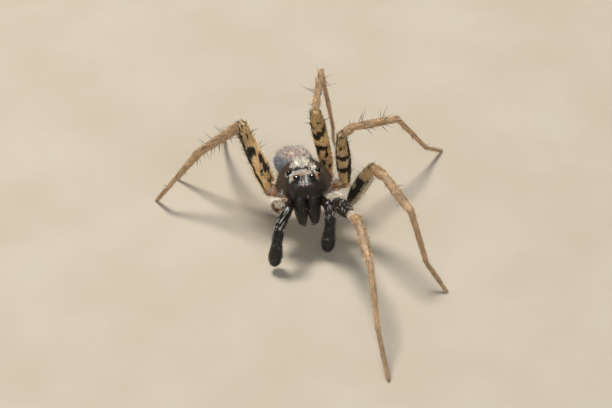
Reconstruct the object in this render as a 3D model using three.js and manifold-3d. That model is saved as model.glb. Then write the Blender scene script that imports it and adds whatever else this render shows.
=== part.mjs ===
// A wolf spider, life size, in millimetres, standing on a flat floor at z = 0.
// It faces -Y, its left side is +X, and the middle of its footprint is the origin.
import * as THREE from "three";
import { mergeVertices } from "three/addons/utils/BufferGeometryUtils.js";
import Module from "manifold-3d";

const wasm = await Module();
wasm.setup();

// ---- Driving dimensions ----
const bodyPlace = [0.18, 2.12, 2.9]; // middle of the carapace's rim
const bodyPitch = 15; // degrees, head up
const bodyYaw = 1.5; // degrees, head towards its left
const jointGap = 0.03; // clear space between two neighbouring pieces

const carapace = {
  length: 3.9,
  halfWidth: 1.48,
  headHalfWidth: 0.8,
  height: 1.2,
  browDrop: 0.4, // how much lower the brow is than the crown
  rimThickness: 0.12,
  faceLift: 0.1, // the rim rises by this over the jaws
  // shares of the length
  noseEnd: 0.11, // the front rounds off up to here
  headEnd: 0.05, // it widens from here
  widest: 0.42, // up to here
  browEnd: 0.24,
  crown: 0.5, // the back slopes down from here
  shoulder: 0.45, // and narrows from here
  // proportions
  noseWidth: 0.72,
  noseHeight: 0.8,
  rearFall: 0.8,
  rearTaper: 1.6,
  frontSquareness: 3.0,
  rearSquareness: 1.9,
};

const eyes = [
  // name, half spacing, forward place, height, radius
  ["median_front", 0.1, -1.885, 0.76, 0.085],
  ["lateral_front", 0.3, -1.86, 0.72, 0.07],
  ["median_rear", 0.4, -1.6, 1.06, 0.19],
  ["lateral_rear", 0.74, -0.92, 1.07, 0.16],
];

const jaw = { top: [0.365, -1.85, -0.04], tip: [0.33, -2.14, -1.33], radius: 0.355 };
const fang = { root: [0.31, -1.94, -1.35], reach: [-0.2, 0.12, -0.207], radius: 0.11 };
const sternum = { length: 1.75, width: 1.15, thickness: 0.3, place: [0, -0.1, -0.62] };
const labium = { length: 0.42, width: 0.4, thickness: 0.24, place: [0, -1.22, -0.66] };
const endite = { root: [0.56, -1.02, -0.52], tip: [0.3, -1.62, -0.66], radius: 0.19 };
const pedicel = { length: 0.5, radius: 0.28, place: [0, 2.08, 0.02] };
const abdomen = {
  length: 3.55,
  halfWidth: 1.0,
  halfHeight: 0.88,
  widest: 0.56, // share of the length
  overlap: 0.08, // its front reaches this far over the waist
  bend: 18, // degrees, down from the carapace
  swing: 11, // degrees, towards the animal's right
};
const spinnerets = { length: 0.45, radius: 0.26, inset: 0.2, heights: [-0.12, -0.2] };

// Coxae start beside the sternum and end at the hips. Both are in the body's own axes.
const coxaRoots = {
  1: [0.8, -0.86, -0.5],
  2: [0.84, -0.36, -0.5],
  3: [0.84, 0.22, -0.5],
  4: [0.7, 0.78, -0.5],
};
const stumpEnd = [1.52, -1.58, -0.4];

// Femur, patella, tibia, metatarsus and tarsus: length, heading and pitch in degrees.
// A heading of 0 points to the animal's left, and -90 straight ahead of it. A hip is in the body's own axes,
// on the left side.
const legs = [
  {
    name: "left_1",
    number: 1,
    hip: [1.5, -1.54, -0.52],
    lengths: [3.5, 1.45, 2.7, 3.3, 2.5],
    headings: [-78, -74, -83, -88, -81],
    pitches: [28, 21, -13, -47, -48],
  },
  {
    name: "left_2",
    number: 2,
    hip: [2.23, -1.26, -0.8],
    lengths: [3.45, 1.35, 2.3, 3.2, 1.95],
    headings: [-39, -64, -58, -32, -31],
    pitches: [62, 12, -24, -78, -57],
  },
  {
    name: "left_3",
    number: 3,
    hip: [2.16, 0.635, -0.5],
    lengths: [3.2, 1.3, 3, 3.45, 1.65],
    headings: [59, 58, 33, 34, 48],
    pitches: [90, -18, -19, -59, -40],
  },
  {
    name: "left_4",
    number: 4,
    hip: [1.39, 1.87, -0.5],
    lengths: [4.75, 1.45, 3.15, 4.05, 1.9],
    headings: [230, 83, 83, 32, 92],
    pitches: [82, -9, -12, -84, -62],
  },
  {
    name: "right_2",
    number: 2,
    hip: [1.875, 0.25, -0.31],
    lengths: [4.2, 1.35, 2.6, 3, 1.75],
    headings: [145, 148, 156, 172, 128],
    pitches: [73, -46, -42, -53, -53],
  },
  {
    name: "right_3",
    number: 3,
    hip: [1.885, 1.0, -0.45],
    lengths: [3.75, 1.25, 2.3, 2.5, 1.4],
    headings: [137, 140, 142, 141, 140],
    pitches: [68, -43, -45, -53, -55],
  },
  {
    name: "right_4",
    number: 4,
    hip: [1.62, 1.59, -0.58],
    lengths: [3.55, 1.25, 2.2, 2.6, 1.4],
    headings: [138, 121, 105, 94, 89],
    pitches: [57, -42, -46, -42, -30],
  },
];
// Femur, patella with tibia, and the bulb of each palp, as the legs.
const palpHip = [0.9, -1.52, -0.45];
const palps = [
  ["left", 1, [1.44, 0.87, 0.88, 1.49], [-82, 71, 202, 169], [32, -74, -84, -81]],
  ["right", -1, [1.43, 1.02, 0.9, 1.52], [-94, -143, -149, 161], [30, -49, -76, -80]],
];

// Outer radius of each segment, hair included, as [share of its length, radius] pairs.
const legShape = [
  [[0, 0.26], [0.35, 0.32], [0.8, 0.33], [1, 0.27]], // coxa and trochanter
  [[0, 0.24], [0.14, 0.3], [0.4, 0.39], [0.75, 0.38], [1, 0.28]], // femur
  [[0, 0.26], [0.5, 0.3], [1, 0.25]], // patella
  [[0, 0.25], [0.3, 0.27], [1, 0.235]], // tibia
  [[0, 0.23], [0.2, 0.24], [1, 0.215]], // metatarsus
  [[0, 0.215], [0.5, 0.21], [1, 0.14]], // tarsus
];
const palpShape = [
  [[0, 0.18], [0.4, 0.25], [1, 0.24]], // femur
  [[0, 0.23], [0.5, 0.28], [1, 0.26]], // patella
  [[0, 0.25], [0.5, 0.28], [1, 0.28]], // tibia
  [[0, 0.28], [0.3, 0.33], [0.62, 0.38], [0.88, 0.33], [1, 0.18]], // bulb
];

// ---- Colours ----
const finish = (color, roughness) => new THREE.MeshStandardMaterial({ color, roughness, metalness: 0 });
const darkShell = finish(0x2a2118, 0.55);
const blackShell = finish(0x17120f, 0.35);
const amber = finish(0xa5763f, 0.6);
const bandedTan = finish(0xa98c5b, 0.65);
const plainTan = finish(0x9b7d58, 0.6);
const greyCoat = finish(0x857a6c, 0.85);
const glassyBlack = finish(0x0a0808, 0.08);
const scab = finish(0x6b2a1c, 0.6);

// ---- Geometry helpers ----
const degrees = Math.PI / 180;
const vector = (p) => new THREE.Vector3(...p);
const mirrored = (p, side) => [p[0] * side, p[1], p[2]];
const clamp = (x) => Math.min(1, Math.max(0, x));
const mix = (a, b, t) => a + (b - a) * t;
const ease = (x, from, to) => THREE.MathUtils.smoothstep(x, from, to);

// A closed skin over rings: place(ring, angle, reach) gives a point. Reach is 0 on the axis and 1 on the rim.
function loft(sides, rings, place) {
  const geometry = new THREE.CylinderGeometry(1, 1, 1, sides, rings - 1);
  geometry.deleteAttribute("normal");
  geometry.deleteAttribute("uv");
  const position = geometry.attributes.position;
  const point = new THREE.Vector3();
  for (let i = 0; i < position.count; i++) {
    point.fromBufferAttribute(position, i);
    const ring = Math.round((0.5 - point.y) * (rings - 1));
    const reach = Math.hypot(point.x, point.z);
    const placed = place(ring, Math.atan2(point.z, point.x), reach);
    position.setXYZ(i, placed.x, placed.y, placed.z);
  }
  return mergeVertices(geometry, 1e-5);
}

function solid(geometry) {
  return new wasm.Manifold(
    new wasm.Mesh({
      numProp: 3,
      vertProperties: geometry.attributes.position.array,
      triVerts: new Uint32Array(geometry.index.array),
    }),
  );
}

function geometryOf(manifold) {
  const made = manifold.getMesh();
  const geometry = new THREE.BufferGeometry();
  geometry.setAttribute("position", new THREE.BufferAttribute(made.vertProperties, 3));
  geometry.setIndex(new THREE.BufferAttribute(made.triVerts, 1));
  return geometry;
}

function ball(radius, place, segments, rings) {
  const geometry = new THREE.SphereGeometry(radius, segments, rings);
  geometry.deleteAttribute("normal");
  geometry.deleteAttribute("uv");
  geometry.translate(...place);
  return mergeVertices(geometry, 1e-5);
}

function direction(heading, pitch) {
  const flat = Math.cos(pitch * degrees);
  return new THREE.Vector3(
    flat * Math.cos(heading * degrees),
    flat * Math.sin(heading * degrees),
    Math.sin(pitch * degrees),
  );
}

// The joints of a limb: its root, its hip, and the far end of each segment.
function chainOf(root, hip, lengths, headings, pitches) {
  const joints = [root, hip];
  lengths.forEach((length, i) => {
    const end = direction(headings[i], pitches[i]).multiplyScalar(length).add(joints.at(-1));
    joints.push(end);
  });
  return joints;
}

// One piece of a limb, from joint `first` to joint `last` of the chain. Its ends are cut on the plane that
// halves the bend, so that two neighbours meet face to face, and a foot is cut by the floor.
function limb(joints, shape, first, last, onFloor = false) {
  const sides = 8;
  const along = joints.slice(1).map((joint, i) => joint.clone().sub(joints[i]).normalize());
  const hinge = new THREE.Vector3(0, 0, 1e-6); // a straight limb falls back on the vertical
  for (let i = 1; i < along.length; i++) hinge.add(along[i - 1].clone().cross(along[i]));
  const rings = [];
  for (let segment = first; segment < last; segment++) {
    for (const [share, radius] of shape[segment]) {
      if (segment > first && share === 0) continue;
      rings.push({ segment, share, radius });
    }
  }
  return loft(sides, rings.length, (ring, angle, reach) => {
    const { segment, share, radius } = rings[ring];
    const axis = along[segment];
    const across = hinge.clone().addScaledVector(axis, -hinge.dot(axis)).normalize();
    const over = axis.clone().cross(across);
    const centre = joints[segment].clone().lerp(joints[segment + 1], share);
    const point = centre
      .clone()
      .addScaledVector(across, Math.cos(angle) * radius * reach)
      .addScaledVector(over, Math.sin(angle) * radius * reach);
    if (share > 0 && share < 1) return point;
    const joint = segment + share;
    const floorCut = onFloor && joint === joints.length - 1;
    const plane = floorCut ? new THREE.Vector3(0, 0, 1) : axis.clone();
    const atBend = !floorCut && joint > 0 && joint < along.length;
    if (atBend) plane.add(along[joint - 1]).add(along[joint]).sub(axis);
    const atEnd = ring === 0 ? 1 : ring === rings.length - 1 && !floorCut ? -1 : 0;
    const target = floorCut ? new THREE.Vector3() : centre.addScaledVector(axis, (atEnd * jointGap) / 2);
    const slide = target.sub(point).dot(plane) / axis.dot(plane);
    return point.addScaledVector(axis, slide);
  });
}

// ---- The spider ----
const spider = new THREE.Group();
const ground = new THREE.Group(); // level axes, middle of the carapace above its origin
ground.position.set(bodyPlace[0], bodyPlace[1], 0);
const body = new THREE.Group(); // x to the animal's left, y to its rear
body.position.z = bodyPlace[2];
body.rotation.set(-bodyPitch * degrees, 0, bodyYaw * degrees);
ground.add(body);
spider.add(ground);

function addPiece(parent, name, geometry, material) {
  const mesh = new THREE.Mesh(geometry, material);
  mesh.name = name;
  parent.add(mesh);
  return mesh;
}

// Carapace: high, square head in front, then a broad low vault that slopes to the waist.
const carapaceShares = [
  0.004, 0.02, 0.05, 0.085, 0.13, 0.2, 0.27, 0.34, 0.42, 0.52, 0.62, 0.72, 0.8, 0.87, 0.93, 0.975,
];

function carapaceSection(share) {
  const c = carapace;
  const rounding = Math.sqrt(1 - (1 - clamp(share / c.noseEnd)) ** 2);
  const taper = Math.sqrt(1 - clamp((share - c.shoulder) / (1 - c.shoulder)) ** c.rearTaper);
  const widening = mix(c.headHalfWidth, c.halfWidth, ease(share, c.headEnd, c.widest));
  const brow = c.browDrop * (1 - clamp(share / c.browEnd)) ** 2.2;
  const fall = c.rearFall * clamp((share - c.crown) / (1 - c.crown)) ** 2.6;
  return {
    halfWidth: widening * taper * mix(c.noseWidth, 1, rounding),
    height: (c.height * (1 - fall) - brow) * mix(c.noseHeight, 1, rounding),
    squareness: mix(c.frontSquareness, c.rearSquareness, ease(share, 0.2, 0.6)),
    rim: c.faceLift * (1 - ease(share, 0.08, 0.26)),
  };
}

function carapaceGeometry() {
  const sides = 26;
  return loft(sides, carapaceShares.length, (ring, angle, reach) => {
    const share = carapaceShares[ring];
    const { halfWidth, height, squareness, rim } = carapaceSection(share);
    const spread = Math.abs(Math.cos(angle)) ** (2 / squareness);
    const rise = Math.abs(Math.sin(angle)) ** (2 / squareness);
    const x = Math.sign(Math.cos(angle)) * spread * halfWidth;
    const z = Math.sin(angle) < 0 ? rim - carapace.rimThickness * rise : rim + (height - rim) * rise;
    return new THREE.Vector3(-x * reach, (share - 0.5) * carapace.length, mix(rim, z, reach));
  });
}

let shell = solid(carapaceGeometry());
for (const [, x, y, z, radius] of eyes) {
  for (const side of [1, -1]) {
    const socket = ball(radius + jointGap / 2, [x * side, y, z], 16, 10);
    shell = shell.subtract(solid(socket));
  }
}
addPiece(body, "carapace", geometryOf(shell), darkShell);

for (const [name, x, y, z, radius] of eyes) {
  for (const [sideName, side] of [["left", 1], ["right", -1]]) {
    addPiece(body, `eye_${name}_${sideName}`, ball(radius, [x * side, y, z], 12, 8), glassyBlack);
  }
}

// A bulging plate or pod between two points, flattened by the given thickness. Its ends are cut off a little.
const podTrim = 0.12;
function pod(from, to, halfWidth, halfThickness, sides = 12, fullness = 2.4, widest = 0.5) {
  const rings = 8;
  const start = vector(from);
  const axis = vector(to).sub(start);
  const length = axis.length();
  axis.normalize();
  const across = new THREE.Vector3(1, 0, 0).addScaledVector(axis, -axis.x).normalize();
  const over = axis.clone().cross(across);
  return loft(sides, rings, (ring, angle, reach) => {
    const share = 0.5 - 0.5 * Math.cos(mix(podTrim, 1 - podTrim, ring / (rings - 1)) * Math.PI);
    const offset = share < widest ? (widest - share) / widest : (share - widest) / (1 - widest);
    const swell = (1 - offset ** fullness) ** (1 / 2);
    return start
      .clone()
      .addScaledVector(axis, share * length)
      .addScaledVector(across, Math.cos(angle) * halfWidth * swell * reach)
      .addScaledVector(over, Math.sin(angle) * halfThickness * swell * reach);
  });
}

// A pod that lies along the body with its middle at a place.
function lyingPod({ place, length }, halfWidth, halfThickness, sides, widest = 0.5) {
  const end = (y) => [place[0], place[1] + y, place[2]];
  return pod(end(-length / 2), end(length / 2), halfWidth, halfThickness, sides, 2.4, widest);
}
addPiece(body, "sternum", lyingPod(sternum, sternum.width / 2, sternum.thickness / 2, 12, 0.4), darkShell);
addPiece(body, "labium", lyingPod(labium, labium.width / 2, labium.thickness / 2, 8), blackShell);
// The waist joins the carapace to the abdomen.
addPiece(body, "pedicel", lyingPod(pedicel, pedicel.radius, pedicel.radius * 0.7, 8), blackShell);

// Abdomen: an egg, broadest behind its middle, that hangs back from the waist.
const rear = new THREE.Group();
rear.position.set(pedicel.place[0], pedicel.place[1] + pedicel.length / 2, pedicel.place[2]);
rear.rotation.set(-abdomen.bend * degrees, 0, abdomen.swing * degrees);
body.add(rear);

function abdomenGeometry() {
  const sides = 20;
  const rings = 14;
  const { widest } = abdomen;
  return loft(sides, rings, (ring, angle, reach) => {
    const share = 0.5 - 0.5 * Math.cos(mix(0.07, 0.93, ring / (rings - 1)) * Math.PI);
    const offset = share < widest ? (widest - share) / widest : (share - widest) / (1 - widest);
    const swell = (1 - offset ** 2.3) ** 0.52;
    const x = Math.cos(angle) * abdomen.halfWidth * swell * reach;
    const z = Math.sin(angle) * abdomen.halfHeight * swell * reach;
    return new THREE.Vector3(-x, share * abdomen.length - abdomen.overlap, z);
  });
}
addPiece(rear, "abdomen", abdomenGeometry(), greyCoat);

const spinneretsStart = abdomen.length - spinnerets.inset;
const spinneretsShape = pod(
  [0, spinneretsStart, spinnerets.heights[0]],
  [0, spinneretsStart + spinnerets.length, spinnerets.heights[1]],
  spinnerets.radius,
  spinnerets.radius * 0.8,
  8,
);
addPiece(rear, "spinnerets", spinneretsShape, darkShell);

const fangTip = fang.root.map((place, i) => place + fang.reach[i]);
for (const [sideName, side] of [["left", 1], ["right", -1]]) {
  const stretch = (from, to, radius, ...look) =>
    pod(mirrored(from, side), mirrored(to, side), radius, radius, ...look);
  addPiece(body, `jaw_${sideName}`, stretch(jaw.top, jaw.tip, jaw.radius, 12, 3.4, 0.35), blackShell);
  addPiece(body, `fang_${sideName}`, stretch(fang.root, fangTip, fang.radius, 6), blackShell);
  addPiece(body, `endite_${sideName}`, stretch(endite.root, endite.tip, endite.radius, 8, 3), amber);
}

ground.updateMatrixWorld(true);
// A point in the body's axes, turned into the level axes that the limbs use.
const toGround = (p) => ground.worldToLocal(body.localToWorld(vector(p)));

for (const { name, number, hip, lengths, headings, pitches } of legs) {
  const side = name.startsWith("left") ? 1 : -1;
  const root = toGround(mirrored(coxaRoots[number], side));
  const joints = chainOf(root, toGround(mirrored(hip, side)), lengths, headings, pitches);
  addPiece(ground, `leg_${name}_coxa`, limb(joints, legShape, 0, 1), amber);
  addPiece(ground, `leg_${name}_femur`, limb(joints, legShape, 1, 2), bandedTan);
  addPiece(ground, `leg_${name}_tibia`, limb(joints, legShape, 2, 4), plainTan);
  addPiece(ground, `leg_${name}_foot`, limb(joints, legShape, 4, 6, true), plainTan);
}

// The right front leg is lost: its coxa ends in a healed stump.
const stump = [toGround(mirrored(coxaRoots[1], -1)), toGround(mirrored(stumpEnd, -1))];
addPiece(ground, "leg_right_1_stump", limb(stump, legShape, 0, 1), scab);

for (const [name, side, lengths, headings, pitches] of palps) {
  const root = toGround(mirrored(endite.root, side));
  const hip = toGround(mirrored(palpHip, side));
  const joints = chainOf(root, hip, lengths, headings, pitches).slice(1);
  addPiece(ground, `palp_${name}_femur`, limb(joints, palpShape, 0, 1), blackShell);
  addPiece(ground, `palp_${name}_tibia`, limb(joints, palpShape, 1, 3), blackShell);
  addPiece(ground, `palp_${name}_bulb`, limb(joints, palpShape, 3, 4), blackShell);
}

export default spider;
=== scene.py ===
import itertools
import math
import bpy
import numpy as np
from mathutils import Matrix, Vector
from mathutils.kdtree import KDTree


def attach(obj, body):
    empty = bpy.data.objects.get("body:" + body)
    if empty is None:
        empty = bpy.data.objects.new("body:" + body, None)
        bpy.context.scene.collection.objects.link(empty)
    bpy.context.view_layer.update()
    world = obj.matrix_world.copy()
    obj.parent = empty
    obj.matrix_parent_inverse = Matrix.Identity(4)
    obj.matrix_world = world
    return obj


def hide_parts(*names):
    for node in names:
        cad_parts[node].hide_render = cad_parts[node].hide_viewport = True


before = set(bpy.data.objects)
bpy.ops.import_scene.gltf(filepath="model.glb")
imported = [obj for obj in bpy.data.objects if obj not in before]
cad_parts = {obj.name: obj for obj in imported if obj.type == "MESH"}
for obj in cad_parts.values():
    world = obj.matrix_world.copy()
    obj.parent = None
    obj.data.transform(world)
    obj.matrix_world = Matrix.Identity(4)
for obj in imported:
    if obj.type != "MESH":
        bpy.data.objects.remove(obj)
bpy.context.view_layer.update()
print("frame loaded:", len(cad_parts), "nodes")

# The script thinks in millimetres. A finished mesh is scaled to metres once, at the end.
mm = 0.001
scene = bpy.context.scene


def unit(vectors):
    vectors = np.asarray(vectors, float)
    return vectors / np.maximum(np.linalg.norm(vectors, axis=-1, keepdims=True), 1e-12)


def mix(a, b, share):
    return a + (b - a) * share


def ease(x, low, high):  # 0 below low, 1 above high, smooth between them
    t = np.clip((np.asarray(x, float) - low) / (high - low), 0, 1)
    return t * t * (3 - 2 * t)


def bump(x, middle, halfWidth):  # 1 about the middle, 0 a little past the half width
    return 1 - ease(np.abs(np.asarray(x, float) - middle), 0.4 * halfWidth, 1.3 * halfWidth)


def angleApart(degrees, facing):
    return np.abs((degrees - facing + 180) % 360 - 180)


scatterPrimes = (73856093, 19349663, 83492791, 2654435761)  # one for each axis and one for the seed


def cloudiness(points, size, seed=0):  # smooth noise between 0 and 1, with lumps of the given size
    cell = np.asarray(points, float) / size
    low = np.floor(cell).astype(np.int64)
    part = cell - low
    part = part * part * (3 - 2 * part)
    total = np.zeros(len(cell))
    primeX, primeY, primeZ, primeSeed = scatterPrimes
    for corner in itertools.product((0, 1), repeat=3):
        x, y, z = (low + np.array(corner)).T
        mixed = x * primeX ^ y * primeY ^ z * primeZ ^ (seed + 1) * primeSeed
        mixed = ((mixed ^ (mixed >> 13)) * 1274126177) & 0xFFFFFFFF
        value = ((mixed ^ (mixed >> 16)) & 0xFFFF) / 65535
        total += value * np.prod(np.where(corner, part, 1 - part), axis=1)
    return total


def paint(red, green, blue):  # a screen colour as a linear one
    shares = (red / 255, green / 255, blue / 255)
    return tuple(((c + 0.055) / 1.055) ** 2.4 if c > 10 / 255 else c / 12.92 for c in shares)


# the animal's own axes: x to its left, y to its rear, z up
bodyStance = {"place": (0.18, 2.12, 2.9), "pitch": 15, "yaw": 1.5}


def aboutZ(turn):
    return np.array([[math.cos(turn), math.sin(turn), 0], [-math.sin(turn), math.cos(turn), 0], [0, 0, 1]])


def aboutX(turn):
    return np.array([[1, 0, 0], [0, math.cos(turn), -math.sin(turn)], [0, math.sin(turn), math.cos(turn)]])


bodyAxes = aboutZ(math.radians(bodyStance["yaw"])) @ aboutX(math.radians(bodyStance["pitch"]))


def fromBody(points):
    return np.asarray(points, float) @ bodyAxes + np.array(bodyStance["place"])


def toBody(points):
    return (np.asarray(points, float) - np.array(bodyStance["place"])) @ bodyAxes.T


# node trees
class Wire:  # a socket that takes part in sums, and the place where new nodes are plugged in
    def __init__(self, tree, socket=None):
        self.tree = tree
        self.socket = socket

    def node(self, kind, inputs=(), output=0, **settings):
        made = self.tree.nodes.new(kind)
        for name, value in settings.items():
            setattr(made, name, value)
        for key, value in dict(inputs).items():
            named = [s for s in made.inputs if s.enabled and s.name == key]
            socket = made.inputs[key] if isinstance(key, int) else named[0]
            if isinstance(value, Wire):
                self.tree.links.new(value.socket, socket)
            else:
                socket.default_value = value
        outputs = [s for s in made.outputs if s.enabled]
        if isinstance(output, str):
            output = [s.name for s in outputs].index(output)
        return Wire(self.tree, outputs[output])

    def sum(self, operation, *values):
        return self.node("ShaderNodeMath", enumerate(values), operation=operation)

    def __add__(self, other):
        return self.sum("ADD", self, other)

    def __sub__(self, other):
        return self.sum("SUBTRACT", self, other)

    def __rsub__(self, other):
        return self.sum("SUBTRACT", other, self)

    def __mul__(self, other):
        return self.sum("MULTIPLY", self, other)

    __radd__ = __add__
    __rmul__ = __mul__

    def between(self, low, high):  # 0 below low, 1 above high
        inputs = {"Value": self, "From Min": low, "From Max": high}
        return self.node("ShaderNodeMapRange", inputs, interpolation_type="SMOOTHSTEP")

    def blend(self, under, over):  # over covers under where this wire is 1
        return self.node("ShaderNodeMix", {"Factor": self, "A": under, "B": over}, data_type="RGBA")

    def tinted(self, colour):  # this colour seen through another one
        inputs = {"Factor": 1.0, "A": self, "B": colour}
        return self.node("ShaderNodeMix", inputs, data_type="RGBA", blend_type="MULTIPLY")


def newMaterial(name, **constants):
    material = bpy.data.materials.new(name)
    material.use_nodes = True
    shader = material.node_tree.nodes["Principled BSDF"]
    for label, value in constants.items():
        shader.inputs[label.replace("_", " ")].default_value = value
    return material, Wire(material.node_tree), shader


def plug(wire, shader, label):
    wire.tree.links.new(wire.socket, shader.inputs[label])


def attribute(start, name, output="Fac"):
    return start.node("ShaderNodeAttribute", (), output, attribute_name=name)


def objectPlace(start):
    return start.node("ShaderNodeTexCoord", (), "Object")


def noise(start, place, size, detail=2.0, roughness=0.5):  # size in millimetres
    inputs = {"Vector": place, "Scale": 1 / (size * mm), "Detail": detail, "Roughness": roughness}
    return start.node("ShaderNodeTexNoise", inputs)


# closed skins over rings
class Loft:  # rings of points, with what the coat and the paint need to know about each point
    def __init__(self, part, rings, share, lie, segment=""):
        count, sides = rings.shape[:2]
        ends = np.array([rings[0].mean(0), rings[-1].mean(0)])
        index = np.arange(count * sides).reshape(count, sides)
        turned = np.roll(index, -1, 1)
        quads = np.stack([index[:-1], turned[:-1], turned[1:], index[1:]], -1).reshape(-1, 4)
        first = [(count * sides, b, a) for a, b in zip(index[0], turned[0])]
        last = [(count * sides + 1, a, b) for a, b in zip(index[-1], turned[-1])]
        self.part, self.segment = part, segment
        self.points = np.concatenate([rings.reshape(-1, 3), ends])
        self.faces = [tuple(map(int, f)) for f in itertools.chain(quads, first, last)]
        angle = np.linspace(0, 2 * np.pi, sides, endpoint=False)
        self.angle = np.concatenate([np.tile(angle, count), (0, 0)])
        self.share = np.concatenate([np.repeat(share, sides), (share[0], share[-1])])
        lie = np.broadcast_to(lie, rings.shape).reshape(-1, 3)
        self.lie = np.concatenate([lie, [lie[0]] * 2])
        self.pole = np.arange(len(self.points)) >= count * sides
        steps = np.linalg.norm(np.diff(rings.mean(1), axis=0), axis=1)
        self.length = max(0.2, float(steps.sum()))
        around = np.linalg.norm(rings - np.roll(rings, 1, 1), axis=2).sum(1)
        self.girth = max(0.2, float(around.max()))
        self.ringShare = np.concatenate([np.repeat(np.linspace(0, 1, count), sides), (0, 1)])
        if self.volume() < 0:
            self.faces = [f[::-1] for f in self.faces]

    def volume(self):
        total = 0.0
        for f in self.faces:
            a, b, c = self.points[list(f[:3])]
            total += np.dot(a, np.cross(b, c))
            if len(f) == 4:
                a, b, c = self.points[[f[0], f[2], f[3]]]
                total += np.dot(a, np.cross(b, c))
        return total / 6


def softened(pairs, count=200):  # a smooth curve through [share, value] pairs
    x = np.linspace(0, 1, count)
    y = np.interp(x, *np.array(pairs, float).T)
    window = np.hanning(count // 8 | 1)
    padded = np.pad(y, len(window) // 2, mode="edge")
    return x, np.convolve(padded, window / window.sum(), "valid")


endRings = np.radians((8, 22, 38, 54, 72))  # the rings that round off an end, from its tip


def pod(part, start, end, radius, across, sides=24, step=0.07, caps=(0.2, 0.2), flat=1.0, segment=""):
    # A limb segment or plate from start to end. radius is a list of [share, radius] pairs.
    start, end = np.asarray(start, float), np.asarray(end, float)
    length = float(np.linalg.norm(end - start))
    axis = (end - start) / length
    across = unit(np.asarray(across, float) - axis * np.dot(axis, across))
    over = np.cross(axis, across)
    middle = np.linspace(0, length, max(4, int(length / step)))
    along = np.concatenate([-caps[0] * np.cos(endRings), middle, length + caps[1] * np.cos(endRings[::-1])])
    closing = np.concatenate([np.sin(endRings), np.ones(len(middle)), np.sin(endRings[::-1])])
    size = np.interp(along / length, *softened(radius)) * closing
    angle = np.linspace(0, 2 * np.pi, sides, endpoint=False)
    ring = np.cos(angle)[:, None] * across + np.sin(angle)[:, None] * over * flat
    rings = start + along[:, None, None] * axis + size[:, None, None] * ring
    return Loft(part, rings, along / length, np.broadcast_to(axis, rings.shape).copy(), segment)


# the legs, as in the solids: a hip is given for the left side
legs = {
    "left_1": {
        "number": 1, "hip": (1.5, -1.54, -0.52), "lengths": (3.5, 1.45, 2.7, 3.3, 2.5),
        "headings": (-78, -74, -83, -88, -81), "tilts": (28, 21, -13, -47, -48), "girth": 1.15,
    },
    "left_2": {
        "number": 2, "hip": (2.23, -1.26, -0.8), "lengths": (3.45, 1.35, 2.3, 3.2, 1.95),
        "headings": (-39, -64, -58, -32, -31), "tilts": (62, 12, -24, -78, -57), "girth": 1.14,
    },
    "left_3": {
        "number": 3, "hip": (2.16, 0.635, -0.5), "lengths": (3.2, 1.3, 3.0, 3.45, 1.65),
        "headings": (59, 58, 33, 34, 48), "tilts": (90, -18, -19, -59, -40), "girth": 0.97,
    },
    "left_4": {
        "number": 4, "hip": (1.39, 1.87, -0.5), "lengths": (4.75, 1.45, 3.15, 4.05, 1.9),
        "headings": (230, 83, 83, 32, 92), "tilts": (82, -9, -12, -84, -62), "girth": 0.85,
    },
    "right_2": {
        "number": 2, "hip": (1.875, 0.25, -0.31), "lengths": (4.2, 1.35, 2.6, 3.0, 1.75),
        "headings": (145, 148, 156, 172, 128), "tilts": (73, -46, -42, -53, -53), "girth": 1.05,
    },
    "right_3": {
        "number": 3, "hip": (1.885, 1.0, -0.45), "lengths": (3.75, 1.25, 2.3, 2.5, 1.4),
        "headings": (137, 140, 142, 141, 140), "tilts": (68, -43, -45, -53, -55), "girth": 0.95,
    },
    "right_4": {
        "number": 4, "hip": (1.62, 1.59, -0.58), "lengths": (3.55, 1.25, 2.2, 2.6, 1.4),
        "headings": (138, 121, 105, 94, 89), "tilts": (57, -42, -46, -42, -30), "girth": 0.85,
    },
}
coxaRoots = {1: (0.8, -0.86, -0.5), 2: (0.84, -0.36, -0.5), 3: (0.84, 0.22, -0.5), 4: (0.7, 0.78, -0.5)}
segmentNames = ("coxa", "trochanter", "femur", "patella", "tibia", "metatarsus", "tarsus")
segmentRadii = (
    ((0, 0.24), (0.4, 0.29), (0.8, 0.28), (1, 0.24)),
    ((0, 0.23), (0.5, 0.25), (1, 0.21)),
    ((0, 0.19), (0.1, 0.265), (0.3, 0.355), (0.62, 0.355), (0.82, 0.29), (1, 0.22)),
    ((0, 0.185), (0.25, 0.21), (0.6, 0.225), (0.9, 0.205), (1, 0.17)),
    ((0, 0.16), (0.1, 0.19), (0.4, 0.2), (0.9, 0.165), (1, 0.145)),
    ((0, 0.115), (0.06, 0.135), (0.4, 0.126), (0.94, 0.11), (1, 0.1)),
    ((0, 0.082), (0.1, 0.098), (0.6, 0.09), (0.9, 0.076), (1, 0.055)),
)
thighRadii = {
    "left_2": ((0, 0.19), (0.1, 0.27), (0.3, 0.365), (0.62, 0.365), (0.85, 0.31), (1, 0.24)),
    "left_4": ((0, 0.19), (0.1, 0.265), (0.3, 0.35), (0.62, 0.365), (0.85, 0.34), (1, 0.25)),
}
segmentSides = (20, 20, 32, 26, 26, 20, 18)
segmentCaps = ((0.1, 0.12), (0.1, 0.1), (0.12, 0.1), (0.14, 0.11), (0.12, 0.1), (0.09, 0.08), (0.07, 0.03))
palps = {  # side, then lengths, headings and tilts
    "left": (1, (1.44, 0.87, 0.88, 1.49), (-82, 71, 202, 169), (32, -74, -84, -81)),
    "right": (-1, (1.43, 1.02, 0.9, 1.52), (-94, -143, -149, 161), (30, -49, -76, -80)),
}
palpRoot, palpHip = (0.56, -1.02, -0.52), (0.9, -1.52, -0.45)
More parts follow.
